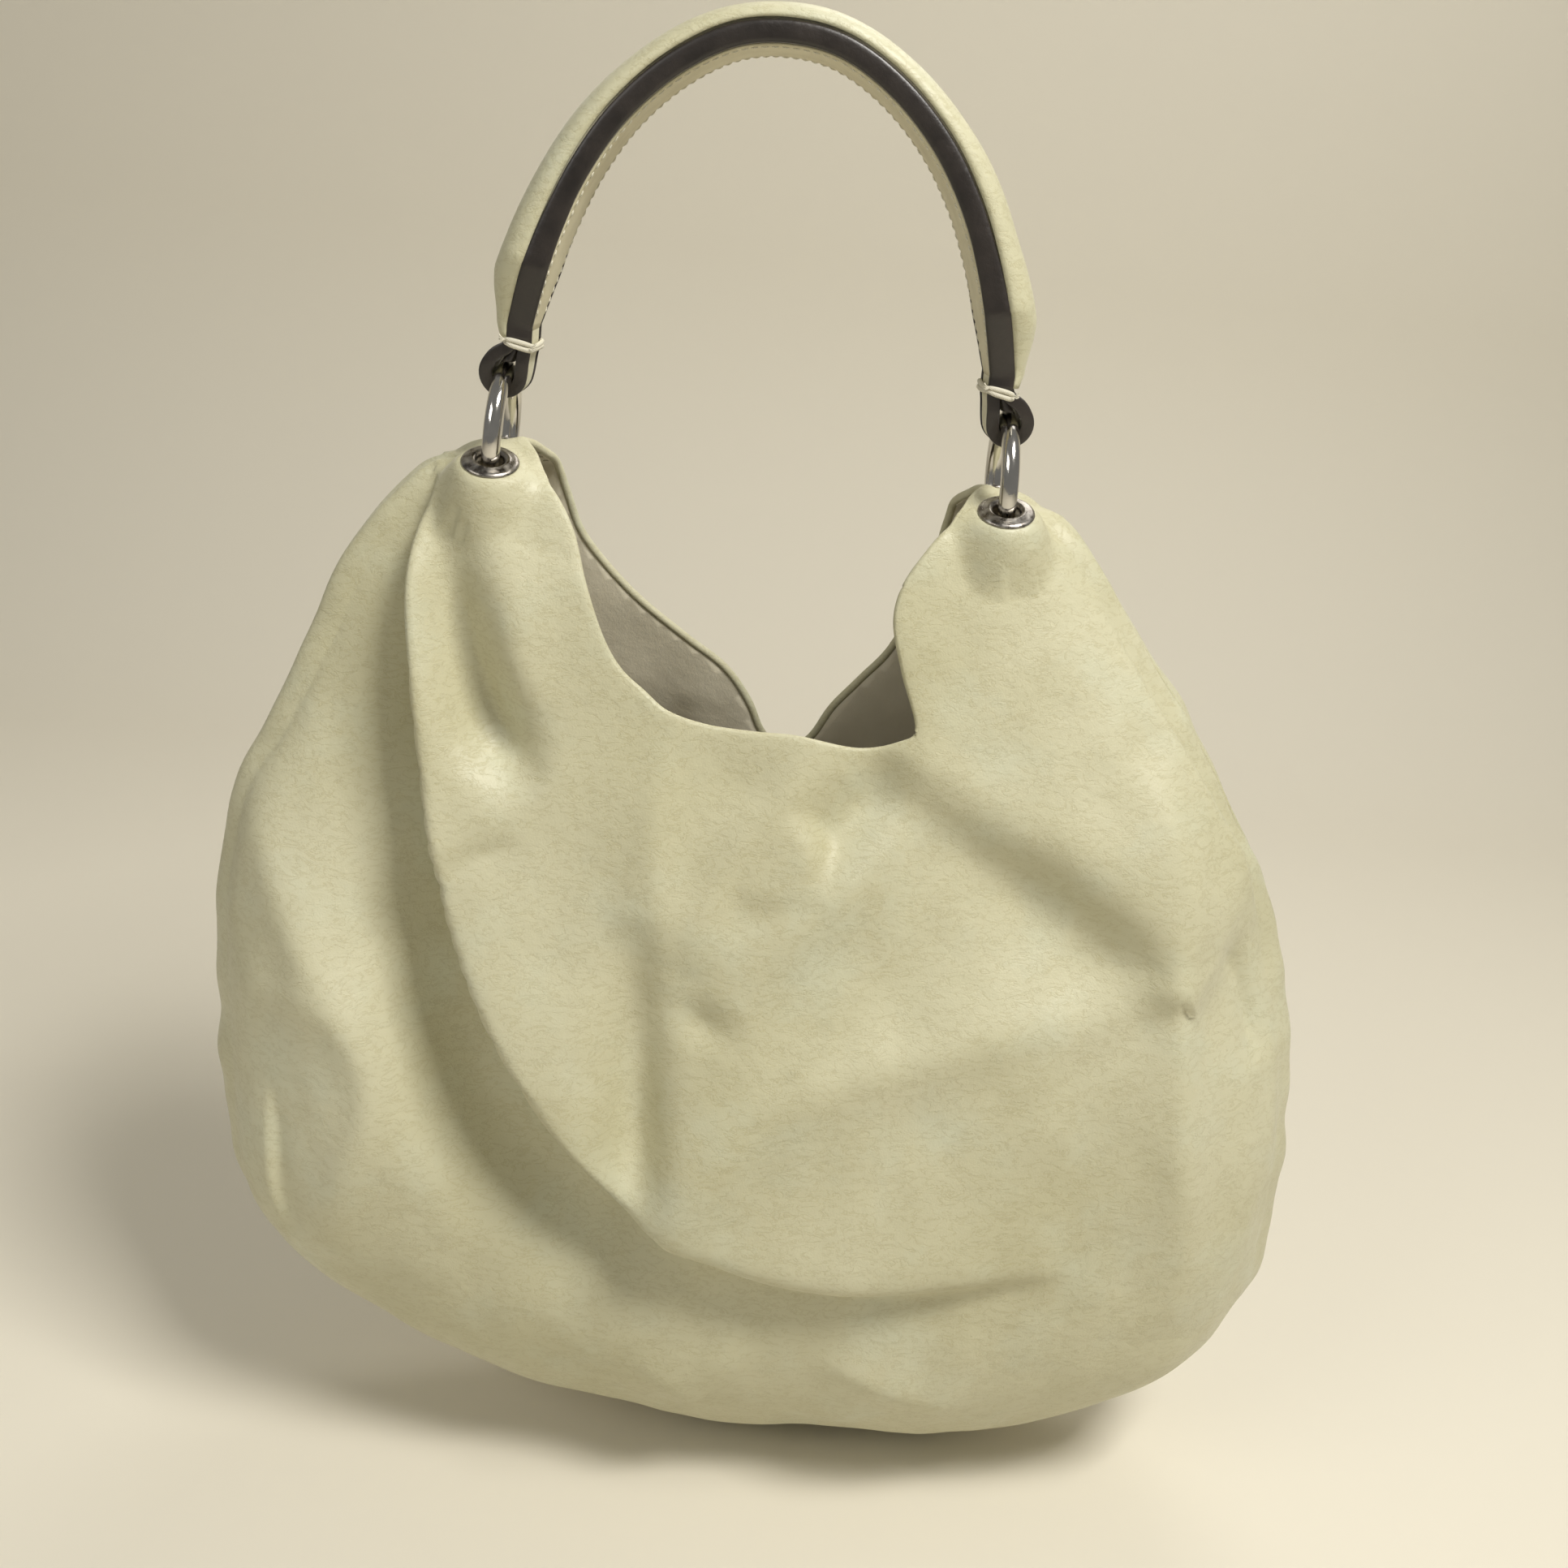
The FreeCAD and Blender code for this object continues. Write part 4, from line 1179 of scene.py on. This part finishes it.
def lining_cloth():
    """A brown woven lining."""
    material, tree, shader, vector = new_material("lining_cloth")
    warp, weft = (wave_node(tree, vector, direction, 420.0) for direction in "XZ")
    woven = math_node(tree, "MULTIPLY", warp, weft)
    dress(
        tree, shader,
        base_color=ramp(tree, woven, (0.0, (0.30, 0.265, 0.21)), (1.0, (0.43, 0.39, 0.32))),
        roughness=0.9, sheen_weight=0.2,
        normal=bump(tree, woven, 0.4, 0.0003),
    )
    return material


def thread():
    """Twisted pale thread."""
    material, tree, shader, vector = new_material("thread")
    twist = wave_node(tree, vector, "DIAGONAL", 900.0)
    dress(
        tree, shader,
        base_color=ramp(tree, twist, (0.0, (0.60, 0.56, 0.43)), (1.0, (0.80, 0.77, 0.64))),
        roughness=0.7,
        normal=bump(tree, twist, 0.5, 0.0003),
    )
    return material


def metal(name, dark, light, low, high, scale):
    """Plated metal: its tarnished and its clean colour, least and most roughness, and scale."""
    material, tree, shader, vector = new_material(name)
    broad = noise_node(tree, vector, scale, 4.0, 0.6)
    scratches = noise_node(tree, coordinates(tree, (1, 6, 1)), 500.0, 3.0, 0.7)
    dress(
        tree, shader,
        base_color=ramp(tree, broad, (0.35, dark), (0.7, light)),
        metallic=1.0,
        roughness=ramp(tree, broad, (0.3, low), (0.7, high)),
        normal=bump(tree, scratches, 0.12, 0.0002),
    )
    return material


MATERIALS = {
    "cream_leather": cream_leather(),
    "brown_leather": brown_leather(),
    "suede_facing": suede_facing(),
    "underside": underside(),
    "lining_cloth": lining_cloth(),
    "padding": suede_facing(),
    "thread": thread(),
    "nickel": metal("nickel", (0.62, 0.60, 0.56), (0.74, 0.71, 0.66), 0.08, 0.16, 90.0),
    "aged_nickel": metal("aged_nickel", (0.16, 0.14, 0.12), (0.60, 0.57, 0.52), 0.22, 0.42, 260.0),
}


# ---------------- stage
# A paper sweep in millimetres: how far under the bag, half its width, where it ends in
# front, where it starts to rise behind, the radius of its curve and its top.
FLOOR_DROP = 5.0
PAPER_HALF_WIDTH = 2600
PAPER_FRONT = -1600
PAPER_RISE = 900
PAPER_RADIUS = 500
PAPER_TOP = 2600


def build_stage():
    floor_z = panel_low[2] - FLOOR_DROP
    profile = [(PAPER_FRONT, floor_z)]
    for step in range(13):
        angle = math.radians(90 * step / 12)
        y = PAPER_RISE + PAPER_RADIUS * math.sin(angle)
        profile.append((y, floor_z + PAPER_RADIUS - PAPER_RADIUS * math.cos(angle)))
    profile.append((PAPER_RISE + PAPER_RADIUS, PAPER_TOP))
    verts = [(x, y, z) for y, z in profile for x in (-PAPER_HALF_WIDTH, PAPER_HALF_WIDTH)]
    faces = [(2 * k, 2 * k + 1, 2 * k + 3, 2 * k + 2) for k in range(len(profile) - 1)]
    floor = make_mesh("studio_floor", verts, faces)
    material, tree, shader, _ = new_material("studio_paper")
    dress(tree, shader, base_color=(0.76, 0.715, 0.60), roughness=0.9)
    floor.data.materials.append(material)


def area_lamp(name, place, target, width, power, color):
    lamp = bpy.data.lights.new(name, "AREA")
    lamp.shape = "RECTANGLE"
    lamp.size = width
    lamp.size_y = width * 0.7
    lamp.energy = power
    lamp.color = color
    holder = bpy.data.objects.new(name, lamp)
    holder.location = place
    direction = Vector(target) - Vector(place)
    holder.rotation_euler = direction.to_track_quat("-Z", "Y").to_euler()
    bpy.context.scene.collection.objects.link(holder)


def build_lights():
    area_lamp("key", (0.7, -0.72, 1.15), (0, 0, -0.35), 0.6, 31, (1.0, 0.975, 0.93))
    area_lamp("fill", (-1.2, -1.1, 0.75), (0, 0, -0.35), 0.9, 6, (1.0, 0.98, 0.95))
    area_lamp("rim", (0.4, 1.3, 1.1), (0, 0, -0.2), 1.0, 9, (1.0, 0.98, 0.95))
    world = bpy.data.worlds.new("studio")
    world.use_nodes = True
    backdrop = world.node_tree.nodes["Background"]
    dress(world.node_tree, backdrop, color=(0.93, 0.92, 0.88), strength=0.21)
    bpy.context.scene.world = world


# The camera, which saw the bag hanging a little out of level.
CAMERA_EYE = (3.3, -620.0, -53.4)
CAMERA_DOWN = 20.1
CAMERA_ROLL = -5.6


def build_camera():
    camera = bpy.data.cameras.new("camera")
    camera.sensor_width = 36.0
    camera.lens = 36.0
    holder = bpy.data.objects.new("camera", camera)
    roll = Matrix.Rotation(math.radians(CAMERA_ROLL), 4, "Y")
    pitch = Matrix.Rotation(math.radians(90 - CAMERA_DOWN), 4, "X")
    holder.matrix_world = Matrix.Translation(Vector(CAMERA_EYE) * MM) @ roll @ pitch
    bpy.context.scene.collection.objects.link(holder)
    bpy.context.scene.camera = holder


# ---------------- build
build_camera()
build_lights()
build_stage()
coarse = 1.0
build_half("front", -1, 2.6 * coarse)
build_half("back", 1, 3.2 * coarse)
for face, face_sign in FACES:
    build_mouth_roll(face, face_sign)
build_seam_tape()
build_pocket()
build_eyelets()
build_cover()
build_strap_edges()
build_strap_lining()
for side, side_sign in SIDES:
    build_tab(side, side_sign)
    build_tie(side, side_sign)
for row in frame["record"]["subparts"]:
    node = frame["nodes"][row["node"]]
    node.data.materials.clear()
    node.data.materials.append(MATERIALS[row["material_slot"]])
    node.data.polygons.foreach_set("use_smooth", [True] * len(node.data.polygons))

bpy.context.scene.view_settings.view_transform = "Standard"
